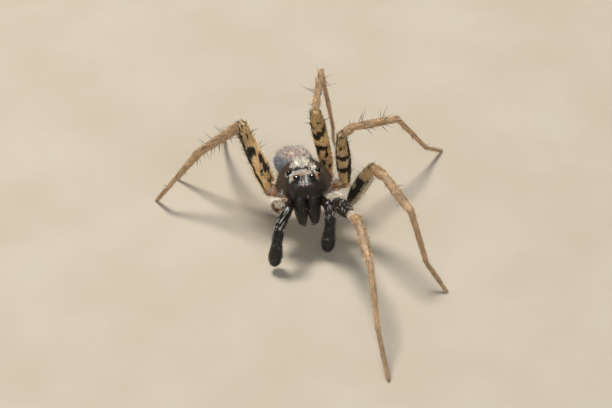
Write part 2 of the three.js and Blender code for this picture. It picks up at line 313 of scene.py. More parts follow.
palpSegments = {  # radii and the reach of the two round ends
    "root": (((0, 0.17), (0.4, 0.235), (1, 0.22)), (0.1, 0.1)),
    "femur": (((0, 0.17), (0.4, 0.235), (1, 0.22)), (0.12, 0.15)),
    "patella": (((0, 0.22), (0.5, 0.27), (1, 0.25)), (0.14, 0.14)),
    "tibia": (((0, 0.24), (0.5, 0.265), (0.9, 0.27), (1, 0.26)), (0.14, 0.14)),
    "bulb": (((0, 0.26), (0.25, 0.305), (0.6, 0.36), (0.88, 0.31), (1, 0.18)), (0.14, 0.1)),
}


def direction(heading, tilt):
    heading, tilt = math.radians(heading), math.radians(tilt)
    flat = math.cos(tilt)
    return np.array((flat * math.cos(heading), flat * math.sin(heading), math.sin(tilt)))


def chain(root, hip, lengths, headings, tilts):
    joints = [fromBody(root), fromBody(hip)]
    for length, heading, tilt in zip(lengths, headings, tilts):
        joints.append(joints[-1] + length * direction(heading, tilt))
    return joints


def hingeOf(joints):
    along = [unit(b - a) for a, b in zip(joints, joints[1:])]
    return sum(np.cross(a, b) for a, b in zip(along, along[1:]))


def mirrored(point, side):
    return (point[0] * side, point[1], point[2])


def legChains():
    found = {}
    for name, leg in legs.items():
        side = 1 if name.startswith("left") else -1
        root, hip = (mirrored(p, side) for p in (coxaRoots[leg["number"]], leg["hip"]))
        found[name] = chain(root, hip, leg["lengths"], leg["headings"], leg["tilts"])
    return found


def radiiOf(name, number):  # the radii of one segment of one leg
    if number == 2 and name in thighRadii:
        return thighRadii[name]
    girth = legs[name]["girth"] if number > 2 else 1
    return [(share, radius * girth) for share, radius in segmentRadii[number]]


def palpChains():
    found = {}
    for name, (side, *bend) in palps.items():
        found[name] = chain(mirrored(palpRoot, side), mirrored(palpHip, side), *bend)
    return found


# carapace with the head
carapace = {
    "length": 3.9, "halfWidth": 1.48, "headHalfWidth": 0.8, "height": 1.2, "browDrop": 0.4,
    "rimThickness": 0.12, "faceLift": 0.1, "coat": 0.035, "sides": 132, "rings": 104, "faceRings": 12,
}
outline = {  # how it changes from front to rear: shares of its length, of its size there, and powers
    "rounded": 0.11, "frontWidth": 0.72, "frontHeight": 0.8, "widening": (0.05, 0.42),
    "taperFrom": 0.45, "taperPower": 1.6, "browTo": 0.24, "browPower": 2.2,
    "fall": 0.8, "fallFrom": 0.5, "fallPower": 2.6,
    "squareness": (3.0, 1.9), "squareReach": (0.2, 0.6), "liftReach": (0.08, 0.26),
}
relief = {  # depths, places and widths in millimetres
    "top": (0.25, 0.7),
    "pit": {"depth": 0.07, "rear": 0.62, "width": 0.05, "length": 0.24},
    "spokes": {"depth": 0.022, "rear": 0.5, "count": 9, "reach": (0.25, 0.6)},
    "furrow": {"depth": 0.04, "front": 0.35, "slant": 0.62, "width": 0.12, "reach": (0.15, 0.5)},
    "bead": {"depth": 0.03, "height": 0.06, "width": 0.05, "reach": (-1.5, -0.6)},
    "lid": {"depth": 0.35, "place": 1.12, "width": 0.34},  # in radii of the eye
}
eyeSets = {  # half spacing, forward place, height, radius, way it looks
    "median_front": (0.1, -1.885, 0.76, 0.085, (0.12, -1, 0.1)),
    "lateral_front": (0.3, -1.86, 0.72, 0.07, (0.45, -1, 0.0)),
    "median_rear": (0.4, -1.6, 1.06, 0.19, (0.25, -0.8, 0.5)),
    "lateral_rear": (0.74, -0.92, 1.07, 0.16, (0.75, 0.1, 0.6)),
}


def carapaceSection(share, angle, shrink):
    c, o = carapace, outline
    rounding = np.sqrt(1 - (1 - np.clip(share / o["rounded"], 0, 1)) ** 2)
    rear = np.clip((share - o["taperFrom"]) / (1 - o["taperFrom"]), 0, 1)
    taper = np.sqrt(1 - rear ** o["taperPower"])
    halfWidth = mix(c["headHalfWidth"], c["halfWidth"], ease(share, *o["widening"]))
    halfWidth = halfWidth * taper * mix(o["frontWidth"], 1, rounding)
    brow = c["browDrop"] * (1 - np.clip(share / o["browTo"], 0, 1)) ** o["browPower"]
    low = np.clip((share - o["fallFrom"]) / (1 - o["fallFrom"]), 0, 1)
    fall = o["fall"] * low ** o["fallPower"]
    height = (c["height"] * (1 - fall) - brow) * mix(o["frontHeight"], 1, rounding)
    rim = c["faceLift"] * (1 - ease(share, *o["liftReach"]))
    power = 2 / mix(*o["squareness"], ease(share, *o["squareReach"]))
    x = np.sign(np.cos(angle)) * np.abs(np.cos(angle)) ** power * (halfWidth - shrink)
    rise = np.abs(np.sin(angle)) ** power
    z = np.where(np.sin(angle) < 0, rim - c["rimThickness"] * rise, rim + (height - shrink - rim) * rise)
    return x, z, rim


def eyePlaces():  # in the animal's own axes
    for name, (spacing, forward, height, radius, looks) in eyeSets.items():
        for side in (1, -1):
            yield name, side, np.array((spacing * side, forward, height)), radius, mirrored(looks, side)


def carapaceRings():
    c = carapace
    angle = np.linspace(0, 2 * np.pi, c["sides"], endpoint=False)
    shares = 0.5 - 0.5 * np.cos(np.linspace(0.035, 0.93, c["rings"]) * np.pi)
    face = np.linspace(0.08, 0.94, c["faceRings"])  # rings that close the front with a gentle bulge
    rings = []
    for k in face:
        x, z, rim = carapaceSection(shares[0], angle, c["coat"])
        middle = rim + 0.3
        y = (shares[0] - 0.5) * c["length"] - 0.05 * (1 - k * k)
        rings.append(np.stack([x * k, np.full_like(x, y), middle + (z - middle) * k], -1))
    for share in shares:
        x, z, _ = carapaceSection(share, angle, c["coat"])
        rings.append(np.stack([x, np.full_like(x, (share - 0.5) * c["length"]), z], -1))
    return np.array(rings), np.concatenate([np.full(len(face), shares[0]), shares])


def carve(rings):  # a pit in the middle, spokes from it, the furrow behind the head, a bead along the rim
    x, y, z = rings[..., 0], rings[..., 1], rings[..., 2]
    p = relief["pit"]
    pit = p["depth"] * np.exp(-((x / p["width"]) ** 2) - ((y - p["rear"]) / p["length"]) ** 4)
    s = relief["spokes"]
    bearing, away = np.arctan2(np.abs(x), y - s["rear"]), np.hypot(x, y - s["rear"])
    spokes = s["depth"] * (0.5 + 0.5 * np.cos(bearing * s["count"])) ** 4 * ease(away, *s["reach"])
    f = relief["furrow"]
    behind = (y + f["front"] - f["slant"] * np.abs(x)) / f["width"]
    furrow = f["depth"] * np.exp(-(behind**2)) * ease(np.abs(x), *f["reach"])
    rings[..., 2] -= ease(z, *relief["top"]) * (pit + spokes + furrow)
    b = relief["bead"]
    bead = b["depth"] * np.exp(-(((z - b["height"]) / b["width"]) ** 2)) * ease(y, *b["reach"])
    rings[..., 0] += np.sign(x) * bead


def addLids(rings):  # the shell swells into a collar round each eye
    lid = relief["lid"]
    for _, _, centre, radius, looks in eyePlaces():
        away = np.linalg.norm(rings - centre, axis=-1)
        apart = (away - radius * lid["place"]) / (radius * lid["width"])
        collar = lid["depth"] * radius * np.exp(-(apart**2))
        rings += collar[..., None] * unit(looks)


def carapaceLoft():
    rings, ringShares = carapaceRings()
    carve(rings)
    addLids(rings)
    # the coat lies back from the pit, and forwards and down over the face
    x = rings[..., 0]
    rear = ease(rings[..., 1], -1.3, -0.7)[..., None]
    ones = np.ones_like(x)
    back = np.stack([0.35 * np.sign(x) * ease(np.abs(x), 0.2, 1.0), ones, -0.2 * ones], -1)
    front = np.stack([0.25 * x, -0.5 * ones, -0.9 * ones], -1)
    return Loft("carapace", fromBody(rings), ringShares, unit(mix(front, back, rear)) @ bodyAxes)


# abdomen, waist and the pieces below
abdomen = {
    "start": (0, 2.33, 0.02), "bend": 18, "swing": 11, "length": 3.55, "halfWidth": 1.0, "halfHeight": 0.88,
    "coat": 0.05, "sides": 72, "rings": 70, "widest": 0.56, "powers": (2.3, 0.52), "forwards": 0.08,
    "folds": 0.035, "foldSize": 0.45,
}


def abdomenPlace(points):
    turn = aboutZ(math.radians(-abdomen["swing"]))
    dip = aboutX(math.radians(-abdomen["bend"]))
    return fromBody(np.asarray(points, float) @ (dip @ turn).T + np.array(abdomen["start"]))


def abdomenLoft():
    a = abdomen
    angle = np.linspace(0, 2 * np.pi, a["sides"], endpoint=False)
    share = 0.5 - 0.5 * np.cos(np.linspace(0.045, 0.955, a["rings"]) * np.pi)
    widest, (inner, outer) = a["widest"], a["powers"]
    offset = np.where(share < widest, (widest - share) / widest, (share - widest) / (1 - widest))
    swell = (1 - offset**inner) ** outer
    x = np.cos(angle) * ((a["halfWidth"] - a["coat"]) * swell)[:, None]
    z = np.sin(angle) * ((a["halfHeight"] - a["coat"]) * swell)[:, None]
    y = np.broadcast_to((mix(0.02, 0.985, share) * a["length"] - a["forwards"])[:, None], x.shape)
    rings = np.stack([x, y, z], -1)
    folds = cloudiness(rings.reshape(-1, 3), a["foldSize"], 3).reshape(x.shape) - 0.5
    rings *= 1 + a["folds"] * folds[..., None] * swell[:, None, None]
    back = np.array((0, 1, -0.05)) + np.zeros_like(rings)
    origin = abdomenPlace((0, 0, 0))
    return Loft("abdomen", abdomenPlace(rings), share, unit(abdomenPlace(back) - origin))


trunkPods = {  # start, end, radii and the way it is made
    "waist": ((0, 1.8, 0.0), (0, 2.42, 0.0), ((0, 0.24), (0.5, 0.2), (1, 0.26)), {}),
    "flank": (  # the soft side between shell and coxae
        (0, -1.3, -0.26), (0, 1.5, -0.26), ((0, 0.5), (0.3, 1.05), (0.55, 1.3), (0.85, 0.95), (1, 0.45)),
        {"sides": 40, "flat": 0.17},
    ),
    "sternum": (
        (0, -0.85, -0.6), (0, 0.7, -0.6), ((0, 0.3), (0.35, 0.54), (0.65, 0.5), (1, 0.16)),
        {"flat": 0.28, "step": 0.05},
    ),
    "labium": (
        (0, -1.38, -0.66), (0, -1.06, -0.66), ((0, 0.16), (0.5, 0.19), (1, 0.17)),
        {"sides": 16, "step": 0.05, "flat": 0.6},
    ),
}
spinnerets = {  # a pair has a height and a reach to the rear
    "apart": (0.128, 0.16), "rear": (3.2, 3.32), "droop": 0.08, "pairs": ((-0.22, 0.42), (0.02, 0.36)),
    "radii": ((0, 0.13), (0.6, 0.1), (1, 0.07)),
    "made": {"sides": 12, "step": 0.05, "caps": (0.1, 0.06)},
}
endite = {
    "root": (0.56, -1.0, -0.52), "tip": (0.3, -1.6, -0.66), "radii": ((0, 0.17), (0.6, 0.19), (1, 0.15)),
    "made": {"sides": 16, "step": 0.05, "caps": (0.15, 0.12)},
}
stump = {  # what is left of the right front leg
    "root": (-0.8, -0.86, -0.5), "end": (-1.54, -1.6, -0.42),
    "radii": ((0, 0.26), (0.5, 0.3), (0.85, 0.33), (1, 0.29)),
    "made": {"sides": 28, "step": 0.05, "caps": (0.1, 0.1)},
}


def trunkLofts():
    level = np.array((1.0, 0, 0))
    lofts = [carapaceLoft(), abdomenLoft()]
    for part, (start, end, radii, made) in trunkPods.items():
        lofts.append(pod(part, fromBody(start), fromBody(end), radii, level, **made))
    for side in (1, -1):
        (inner, outer), (front, rear) = spinnerets["apart"], spinnerets["rear"]
        for z, reach in spinnerets["pairs"]:
            base = abdomenPlace((side * inner, front, z))
            tip = abdomenPlace((side * outer, rear + reach, z - spinnerets["droop"]))
            lofts.append(pod("spinneret", base, tip, spinnerets["radii"], level, **spinnerets["made"]))
    for side in (1, -1):
        root, tip = (fromBody(mirrored(endite[end], side)) for end in ("root", "tip"))
        lofts.append(pod("endite", root, tip, endite["radii"], level, **endite["made"]))
    return lofts


coxaShare, hipOverlap = 0.72, 1.04  # where the coxa ends, and how far the trochanter goes past the hip


def legLofts(name, joints):
    root, hip = joints[0], joints[1]
    split = mix(root, hip, coxaShare)
    ends = [(root, split), (split, mix(root, hip, hipOverlap)), *zip(joints[1:], joints[2:])]
    lofts = []
    for number, (start, end) in enumerate(ends):
        loft = pod(
            name, start, end, radiiOf(name, number), hingeOf(joints), sides=segmentSides[number],
            step=0.06, caps=segmentCaps[number], segment=segmentNames[number],
        )
        loft.points[:, 2] = np.maximum(loft.points[:, 2], 0)
        lofts.append(loft)
    return lofts


def palpLofts(name, joints):
    hinge = hingeOf(joints[1:])
    lofts = []
    for (kind, (radii, caps)), start, end in zip(palpSegments.items(), joints, joints[1:]):
        made = {"sides": 28, "step": 0.05, "caps": caps, "segment": kind}
        lofts.append(pod(f"palp_{name}", start, end, radii, hinge, **made))
    return lofts


def limbLofts():
    lofts = []
    for name, joints in legChains().items():
        lofts += legLofts(name, joints)
    for name, joints in palpChains().items():
        lofts += palpLofts(name, joints)
    root, end = fromBody(stump["root"]), fromBody(stump["end"])
    return lofts + [pod("stump", root, end, stump["radii"], (0, 0, 1), **stump["made"])]


# one skin
def plainMesh(name, points, faces):
    mesh = bpy.data.meshes.new(name)
    mesh.from_pydata([tuple(p) for p in points], [], faces)
    mesh.validate()
    return mesh


def evaluated(thing):
    depsgraph = bpy.context.evaluated_depsgraph_get()
    depsgraph.update()
    return bpy.data.meshes.new_from_object(thing.evaluated_get(depsgraph))


def unite(lofts):
    others = bpy.data.collections.new("lofts")
    scene.collection.children.link(others)
    made = []
    for i, loft in enumerate(lofts):
        piece = bpy.data.objects.new(f"loft{i}", plainMesh(f"loft{i}", loft.points, loft.faces))
        (scene.collection if i == 0 else others).objects.link(piece)
        made.append(piece)
    joiner = made[0].modifiers.new("join", "BOOLEAN")
    joiner.operation = "UNION"
    joiner.solver = "MANIFOLD"
    joiner.operand_type = "COLLECTION"
    joiner.collection = others
    mesh = evaluated(made[0])
    for piece in made:
        bpy.data.objects.remove(piece)
    bpy.data.collections.remove(others)
    return mesh


def packed(sizes, width):  # shelves of rectangles, tallest first
    order = sorted(range(len(sizes)), key=lambda i: -sizes[i][1])
    places, x, y, shelf = [None] * len(sizes), 0.0, 0.0, 0.0
    for i in order:
        w, h = sizes[i]
        if x + w > width:
            x, y, shelf = 0.0, y + shelf, 0.0
        shelf = max(shelf, h)
        places[i] = (x, y)
        x += w
    return places, y + shelf


mapLayout = {"gap": 0.12, "around": 1.06, "along": 1.1, "spare": 1.02}


def unwrap(mesh, lofts, owner, nearest):
    # Each loft is a rectangle of the map: round the limb one way, along it the other.
    gap, along = mapLayout["gap"], mapLayout["along"]
    sizes = [(loft.girth * mapLayout["around"] + gap, loft.length * along + gap) for loft in lofts]
    width = math.sqrt(sum(w * h for w, h in sizes)) * mapLayout["spare"]
    places, height = packed(sizes, width)
    trees = {}
    corners = np.zeros((len(mesh.loops), 2))
    for face in mesh.polygons:
        owners = [owner[v] for v in face.vertices]
        k = max(set(owners), key=owners.count)
        loft = lofts[k]
        if k not in trees and len(set(owners)) > 1:
            trees[k] = treeOf(loft.points)
        local = [
            nearest[v] if owner[v] == k else trees[k].find(mesh.vertices[v].co)[1]
            for v in face.vertices
        ]
        turn = loft.angle[local] / (2 * np.pi)
        solid = ~loft.pole[local]
        if solid.any():
            if np.ptp(turn[solid]) > 0.5:  # the face lies over the seam
                turn = np.where(turn < 0.5, turn + 1, turn)
            turn = np.where(solid, turn, turn[solid].mean())
        (x, y), here = places[k], list(face.loop_indices)
        corners[here, 0] = (x + gap / 2 + turn * loft.girth) / width
        corners[here, 1] = (y + gap / 2 + loft.ringShare[local] * loft.length * along) / height
    mesh.uv_layers.new(name="OFBake").data.foreach_set("uv", corners.astype(np.float32).ravel())


def treeOf(points):
    tree = KDTree(len(points))
    for i, p in enumerate(points):
        tree.insert(p, i)
    tree.balance()
    return tree


# what each stretch of skin is painted and how its hair grows
tones = {
    "shell": paint(86, 69, 52), "face": paint(44, 34, 25), "black": paint(44, 38, 29),
    "palp": paint(11, 10, 12), "cream": paint(231, 226, 217), "rust": paint(188, 128, 72),
    "pink": paint(190, 132, 112), "scab": paint(92, 26, 18), "greyGreen": paint(172, 164, 134),
    "amber": paint(186, 132, 74), "femurTan": paint(242, 212, 162), "olive": paint(204, 176, 128),
    "legTan": paint(208, 177, 141), "abdomenTop": paint(206, 198, 194),
    "abdomenSide": paint(150, 162, 178), "belly": paint(160, 142, 122),
}
# dark marks of the thighs: share of the length, half width, angle round it, half angle, strength
plainThigh = (
    (0.6, 0.05, 80, 75, 1), (0.36, 0.05, 80, 62, 1), (0.18, 0.03, 100, 40, 0.8),
    (0.55, 0.45, 5, 22, 0.9), (0.5, 0.4, 160, 20, 0.8), (0.98, 0.03, 90, 120, 0.6),
)
thighMarks = {
    "left_1": ((0.5, 0.6, 180, 120, 1), (0.5, 0.5, 0, 60, 0.7)),
    "left_2": (
        (0.2, 0.18, 212, 26, 1), (0.5, 0.22, 235, 24, 1), (0.62, 0.07, 180, 60, 0.9),
        (0.3, 0.1, 185, 26, 0.8), (0.64, 0.06, 90, 75, 1), (0.42, 0.06, 90, 65, 1),
    ),
    "left_3": (
        (0.58, 0.04, 76, 78, 1), (0.33, 0.045, 68, 62, 1), (0.65, 0.26, 156, 24, 1),
        (0.24, 0.2, 130, 22, 1), (0.5, 0.5, 0, 14, 0.9), (0.77, 0.03, 55, 13, 0.9),
        (0.97, 0.03, 76, 120, 0.5),
    ),
    "left_4": (
        (0.48, 0.04, 60, 66, 0.8), (0.66, 0.045, 40, 40, 0.66), (0.7, 0.05, 85, 40, 0.66),
        (0.74, 0.05, 125, 30, 0.6), (0.27, 0.05, 62, 14, 0.7), (0.18, 0.03, 110, 22, 0.8),
        (0.4, 0.05, 20, 16, 0.9), (0.39, 0.04, 100, 16, 0.8), (0.99, 0.015, 75, 120, 0.45),
        (0.8, 0.2, 350, 22, 0.7), (0.5, 0.5, 160, 18, 0.5),
    ),
    "right_2": (
        (0.72, 0.25, 263, 22, 1), (0.3, 0.26, 288, 14, 1), (0.62, 0.065, 326, 32, 1),
        (0.43, 0.12, 34, 27, 1), (0.32, 0.02, 344, 12, 0.9), (0.26, 0.02, 331, 12, 0.9),
        (0.15, 0.025, 21, 14, 0.9), (0.26, 0.06, 63, 22, 0.9), (0.09, 0.05, 63, 26, 0.9),
        (0.03, 0.015, 345, 70, 0.8), (0.83, 0.03, 336, 14, 0.9), (0.98, 0.03, 90, 120, 0.5),
    ),
}
thighLight = {"left_4": 1.2, "right_2": 1.15}  # these two are paler than the others
slimSegments = ("patella", "tibia", "metatarsus", "tarsus")


class Markings:  # the paint and the hair at each point of a loft
    def __init__(self, loft, tone, hairLength=1.0, hairDensity=1.0, hairLift=1.0):
        n = len(loft.points)
        self.tone = np.tile(tones[tone], (n, 1))
        self.mark, self.pale, self.warm = np.zeros((3, n))
        self.hairLength = np.full(n, hairLength)
        self.hairDensity = np.full(n, hairDensity)
        self.hairLift = np.full(n, hairLift)

    def between(self, first, second, share):  # from one tone to another
        self.tone = mix(np.array(tones[first]), np.array(tones[second]), share[:, None])

    def lighten(self, pale):
        self.pale = np.maximum(self.pale, pale)

    def darken(self, mark):
        self.mark = np.maximum(self.mark, mark)


def roundLimb(loft, along, radius):  # a place for streaks that run along a limb
    return np.stack([loft.share * along, radius * np.cos(loft.angle), radius * np.sin(loft.angle)], -1)


def paintThigh(leg, loft, look, wobble):
    share, points = loft.share, loft.points
    degrees = np.degrees(loft.angle)
    look.between("greyGreen" if leg == "left_2" else "femurTan", "olive", ease(share, 0.66, 0.8))
    look.tone *= thighLight.get(leg, 1)
    for middle, half, facing, spread, strength in thighMarks.get(leg, plainThigh):
        along = bump(share + wobble * 0.06, middle, half * 1.35)
        look.darken(strength * (along * bump(angleApart(degrees + wobble * 30, facing), 0, spread * 1.25)))
    streaks = cloudiness(points @ np.diag((1, 1, 0.35)), 0.07, 8)
    look.darken(0.6 * ease(streaks, 0.5, 0.75) * ease(share, 0.66, 0.78))
    look.pale = 0.35 * bump(angleApart(degrees, -90), 0, 40) * (1 - look.mark)
    if leg == "left_2":  # a thin pale line along the front edge: a painted highlight where that edge catches the light
        look.lighten(0.95 * bump(angleApart(degrees, 309), 0, 22))
    if leg == "left_1":  # pale flecks over the black
        look.pale = 0.9 * ease(cloudiness(points, 0.09, 14), 0.66, 0.78)
        look.mark = look.mark * (1 - look.pale)
    look.hairLength[:] = 0.85


def legPaint(leg, loft):
    kind, share = loft.segment, loft.share
    look = Markings(loft, "legTan", 0.8)
    wobble = cloudiness(loft.points, 0.16, 5) - 0.5
    if kind in ("coxa", "trochanter"):
        look = Markings(loft, "amber", 0.9, 1.1)
        look.pale = 0.45 + 0.5 * wobble
        if leg in ("left_1", "left_2"):
            look.pale += 0.35
    if kind == "femur":
        paintThigh(leg, loft, look, wobble)
    if kind == "patella":
        look.mark = 0.35 * ease(wobble, 0.1, 0.3) + 0.5 * bump(share, 0, 0.1)
        if leg == "left_2":
            look.between("legTan", "amber", 0.3 * (1 - ease(share, 0.4, 1.0)))
        if leg == "left_1":
            look.pale = 0.8 * (1 - ease(share, 0.3, 0.9)) * ease(wobble, -0.3, 0.1)
    if kind == "tibia":
        along = share + wobble * 0.05
        look.mark = 0.4 * bump(along, 0.2, 0.08) + 0.4 * bump(along, 0.68, 0.08)
    if kind in slimSegments:
        look.tone *= mix(0.66, 1.26, cloudiness(roundLimb(loft, 1, 0.22), 0.12, 27))[:, None]
    if kind in ("metatarsus", "tarsus"):
        look.mark = 0.45 * bump(share, 0 if kind == "tarsus" else 1, 0.05)
        look.hairLength[:] = 0.5
        look.hairDensity[:] = 1.5
    if kind == "tarsus":
        look.tone *= 0.82
        look.hairLift += 0.6
    return look


def palpPaint(loft):
    kind = loft.segment
    tone = "face" if kind in ("root", "femur") else "palp"
    look = Markings(loft, tone, 0.5 if kind == "bulb" else 0.55, 0.9, 1.1)
    if kind in ("patella", "tibia"):  # pale hair where the two meet
        joint = bump(loft.share, 1 if kind == "patella" else 0, 0.12)
        look.pale = 0.9 * joint * ease(cloudiness(loft.points, 0.09, 4), 0.42, 0.66)
    if kind == "patella":
        # painted highlights: pale streaks along the patella where its gloss would catch the light
        look.lighten(0.75 * ease(cloudiness(roundLimb(loft, 0.15, 0.25), 0.05, 9), 0.6, 0.75))
    if kind in ("tibia", "bulb"):
        # painted glints: sparse pale specks on the tibia and bulb
        look.lighten(0.55 * ease(cloudiness(loft.points, 0.05, 27), 0.74, 0.86))
    return look


def darkDashes(b, wobble, across):  # the broken dark row over the head, and a notch in the band behind it
    x, y, z = b.T
    upper = ease(z, 0.45, 0.8)
    broken = ease(cloudiness(b * (1, 0.3, 0.3), 0.07, 6), 0.35, 0.5)
    parts = np.maximum(np.maximum(bump(x, -0.22, 0.25), bump(x, 0.16, 0.17)), 0.7 * bump(x, -0.68, 0.16))
    dashes = ease(bump(across, -0.72, 0.2) * parts * mix(0.3, 1, broken), 0.15, 0.4) * upper
    return np.maximum(dashes, bump(y + 0.3 * wobble, 0.42, 0.06) * bump(x, -0.45, 0.2) * upper)


def paleBand(b, wobble, between):
    # broad behind the eyes and narrow to the rear, with single strands between the eyes
    x, y, z = b.T
    half = mix(0.72, 0.46, ease(y, -0.8, 1.0)) - 0.2 * ease(y, 1.0, 1.7) + 0.16 * wobble
    half = half - 0.15 * ease(x, 0, 0.3) * ease(y, -0.3, 0.3)
    pale = (1 - ease(np.abs(x), half - 0.12, half + 0.1)) * ease(y, -1.62, -1.4) * ease(z, 0.45, 0.8)
    pale = pale * (1 - 0.85 * ease(cloudiness(b * (1, 0.25, 0.6), 0.045, 21), 0.5, 0.72))
    strands = ease(cloudiness(b * (1, 0.2, 0.2), 0.05, 33), 0.42, 0.6)
    return mix(pale, np.maximum(pale, 0.8 * ease(y, -1.88, -1.75) * ease(z, 0.78, 0.9)) * strands, between)


def paleFlecksAndGlint(b, points):  # two spots on the flanks, a broken line along the rim and a painted highlight on the chin
    x, y, z = b.T
    pale = 0.9 * (bump(z, 0.1, 0.08) * ease(cloudiness(points, 0.16, 11), 0.62, 0.75) * ease(y, -1.5, -1.0))
    for spot in ((-1.22, -0.95, 0.1), (1.4, -0.6, 0.1)):
        pale = np.maximum(pale, 1 - ease(np.linalg.norm(b - np.array(spot), axis=1), 0.07, 0.15))
    # the last term is the painted highlight on the chin
    return np.maximum(pale, 0.8 * (bump(x, 0.07, 0.05) * bump(z, 0.17, 0.09) * (1 - ease(y, -1.75, -1.6))))


rustReach = {"median_rear": 0.34, "lateral_rear": 0.1}  # how far the rust hair spreads from an eye


def rustRings(look, b, rough):  # rust hair above and outside the rear eyes, with a spot between them
    for name, side, centre, radius, _ in eyePlaces():
        if name not in rustReach:
            continue
        apart, reach = b - centre, rustReach[name]
        away = np.linalg.norm(apart, axis=1)
        outer = apart @ unit((0.5 * side, 0.45, 0.6)) / away
        ring = (1 - ease(away - radius, 0.4 * reach, reach)) * ease(outer, -0.1, 0.35)
        look.warm = np.maximum(look.warm, 0.8 * ring * ease(rough, -0.3, 0.05))
        if name == "lateral_rear":  # a thin pale line outside the right one
            look.lighten(0.75 * (bump(away - radius, 0.06, 0.03) * ease(-apart[:, 0], 0, 0.1)))
        else:
            look.pale *= ease(away, radius * 1.05, radius * 1.3)
    for side in (1, -1):
        away = np.linalg.norm(b - np.array((0.69 * side, -1.12, 1.08)), axis=1)
        look.warm = np.maximum(look.warm, 1 - ease(away, 0.06, 0.14))


def mixTufts(look, b, between):  # rust and pale hair stand in separate tufts
    x, y, z = b.T
    tufts = ease(cloudiness(b * (1, 0.3, 0.3), 0.05, 52), 0.45, 0.62)
    look.lighten(0.75 * (look.warm > 0.45) * (1 - tufts))
    brow = bump(y, -1.3, 0.32) * (1 - ease(np.abs(x), 0.6, 0.8)) * ease(z, 0.45, 0.8)
    collar = bump(z, 0.12, 0.14) * ease(np.abs(x), 0.65, 0.85) * (1 - ease(y, -1.3, -1.0))
    patches = np.maximum(0.6 * brow, np.maximum(0.5 * between * (look.pale > 0.2), 0.4 * collar))
    look.warm = np.maximum(look.warm * mix(0.2, 1.1, tufts), tufts * patches)
    look.pale = look.pale * (1 - 0.6 * look.warm)


bareEyes = {"lateral_rear": (0.85, 1.05), "median_rear": (1.15, 1.4)}  # no hair inside, all of it outside
plainBare = (1.05, 1.35)  # the same for the others, in radii of the eye


def shellHair(look, b, across, dashes):
    y, z = b[:, 1], b[:, 2]
    light = np.maximum(look.pale, look.warm)
    length = mix(0.5, 1.0, ease(y, -1.6, -0.6)) * mix(0.7, 1.0, light)
    length = length * (1 - 0.4 * bump(across, -0.95, 0.3))
    fringe = 0.9 * (1 - ease(z, 0.2, 0.42)) * (1 - ease(y, -1.6, -1.4))  # hangs over the jaws
    look.hairLength = np.maximum(length, fringe)
    look.hairDensity = 0.85 + 0.35 * light
    for name, _, centre, radius, _ in eyePlaces():
        near, far = bareEyes.get(name, plainBare)
        above = 0.09 if name == "median_front" else 0.0  # clear of the hair above the small front eyes
        away = np.linalg.norm(b - (centre + (0, above, above)), axis=1)
        look.hairDensity *= ease(away, radius * near + above * 0.5, radius * far + above * 0.6)
        look.hairLength *= mix(0.45, 1, ease(away, radius, radius + 0.22))
    look.hairDensity *= ease(z, 0.02, 0.1)
    look.hairLift = 1 + 0.5 * look.warm + 1.2 * dashes


def carapacePaint(loft):
    b = toBody(loft.points)
    x, y = b[:, 0], b[:, 1]
    look = Markings(loft, "shell")
    wobble = cloudiness(loft.points, 0.14, 2) - 0.5
    fine = cloudiness(loft.points, 0.06, 7) - 0.5
    across = y - 0.12 * np.abs(x) + 0.1 * wobble  # the dark row bows forwards at its ends
    between = (1 - ease(y, -1.5, -1.3)) * (1 - ease(np.abs(x), 0.24, 0.5))  # the place between the eyes
    dashes = darkDashes(b, wobble, across)
    look.pale = paleBand(b, wobble, between) * (1 - dashes)
    look.lighten(paleFlecksAndGlint(b, loft.points))
    rustRings(look, b, wobble + fine * 1.6)
    mixTufts(look, b, between)
    look.between("face", "shell", ease(y, -1.5, -0.8))
    look.tone *= mix(0.65, 1.5, cloudiness(b * (0.6, 1, 0.6), 0.09, 41))[:, None]
    look.mark = dashes * ease(y, -1.6, -1.4)
    shellHair(look, b, across, dashes)
    return look


def abdomenPaint(loft):
    b = toBody(loft.points)
    share, height, side = loft.share, np.sin(loft.angle), np.abs(np.cos(loft.angle))
    look = Markings(loft, "abdomenSide")
    wobble = cloudiness(loft.points, 0.22, 2) - 0.5
    look.between("abdomenSide", "abdomenTop", ease(height, 0.1, 0.75))
    look.tone = mix(look.tone, np.array(tones["belly"]), ease(-height, 0.2, 0.7)[:, None])
    look.tone *= mix(0.78, 1.25, cloudiness(b * (1, 0.3, 1), 0.08, 15))[:, None]
    # pale blots with a pink edge in pairs in front, and dark chevrons behind them
    away = np.hypot(side + 0.2 * wobble - 0.38, (share - 0.17) * 3.2)
    blot = (1 - ease(away, 0.12, 0.24)) * (height > 0)
    edge = bump(away, 0.27, 0.07) * (height > 0)
    look.tone = mix(look.tone, np.array(tones["pink"]), (0.6 * edge)[:, None])
    rows = 0.5 + 0.5 * np.cos((share * 11 - 1.6 * side) * 2 * np.pi)
    chevrons = ease(rows, 0.55, 0.9) * ease(share, 0.5, 0.6) * (height > 0.2) * (1 - ease(side, 0.45, 0.7))
    middle = (1 - ease(side + 0.1 * wobble, 0.03, 0.1)) * (height > 0) * (1 - ease(share, 0.4, 0.6))
    look.mark = np.maximum(0.55 * chevrons, 0.45 * middle * ease(wobble, -0.1, 0.1))
    look.pale = np.maximum(0.75 * blot, 0.3 * ease(wobble, 0.1, 0.35) * (height > 0))
    look.darken(0.4 * ease(cloudiness(loft.points, 0.1, 12), 0.6, 0.8) * (1 - look.pale))
    return look


def lowerPaint(loft):
    look = Markings(loft, {"labium": "face", "endite": "amber"}.get(loft.part, "shell"), 0.5, 0.6)
    if loft.part == "sternum":
        look.pale[:] = 0.25
    return look


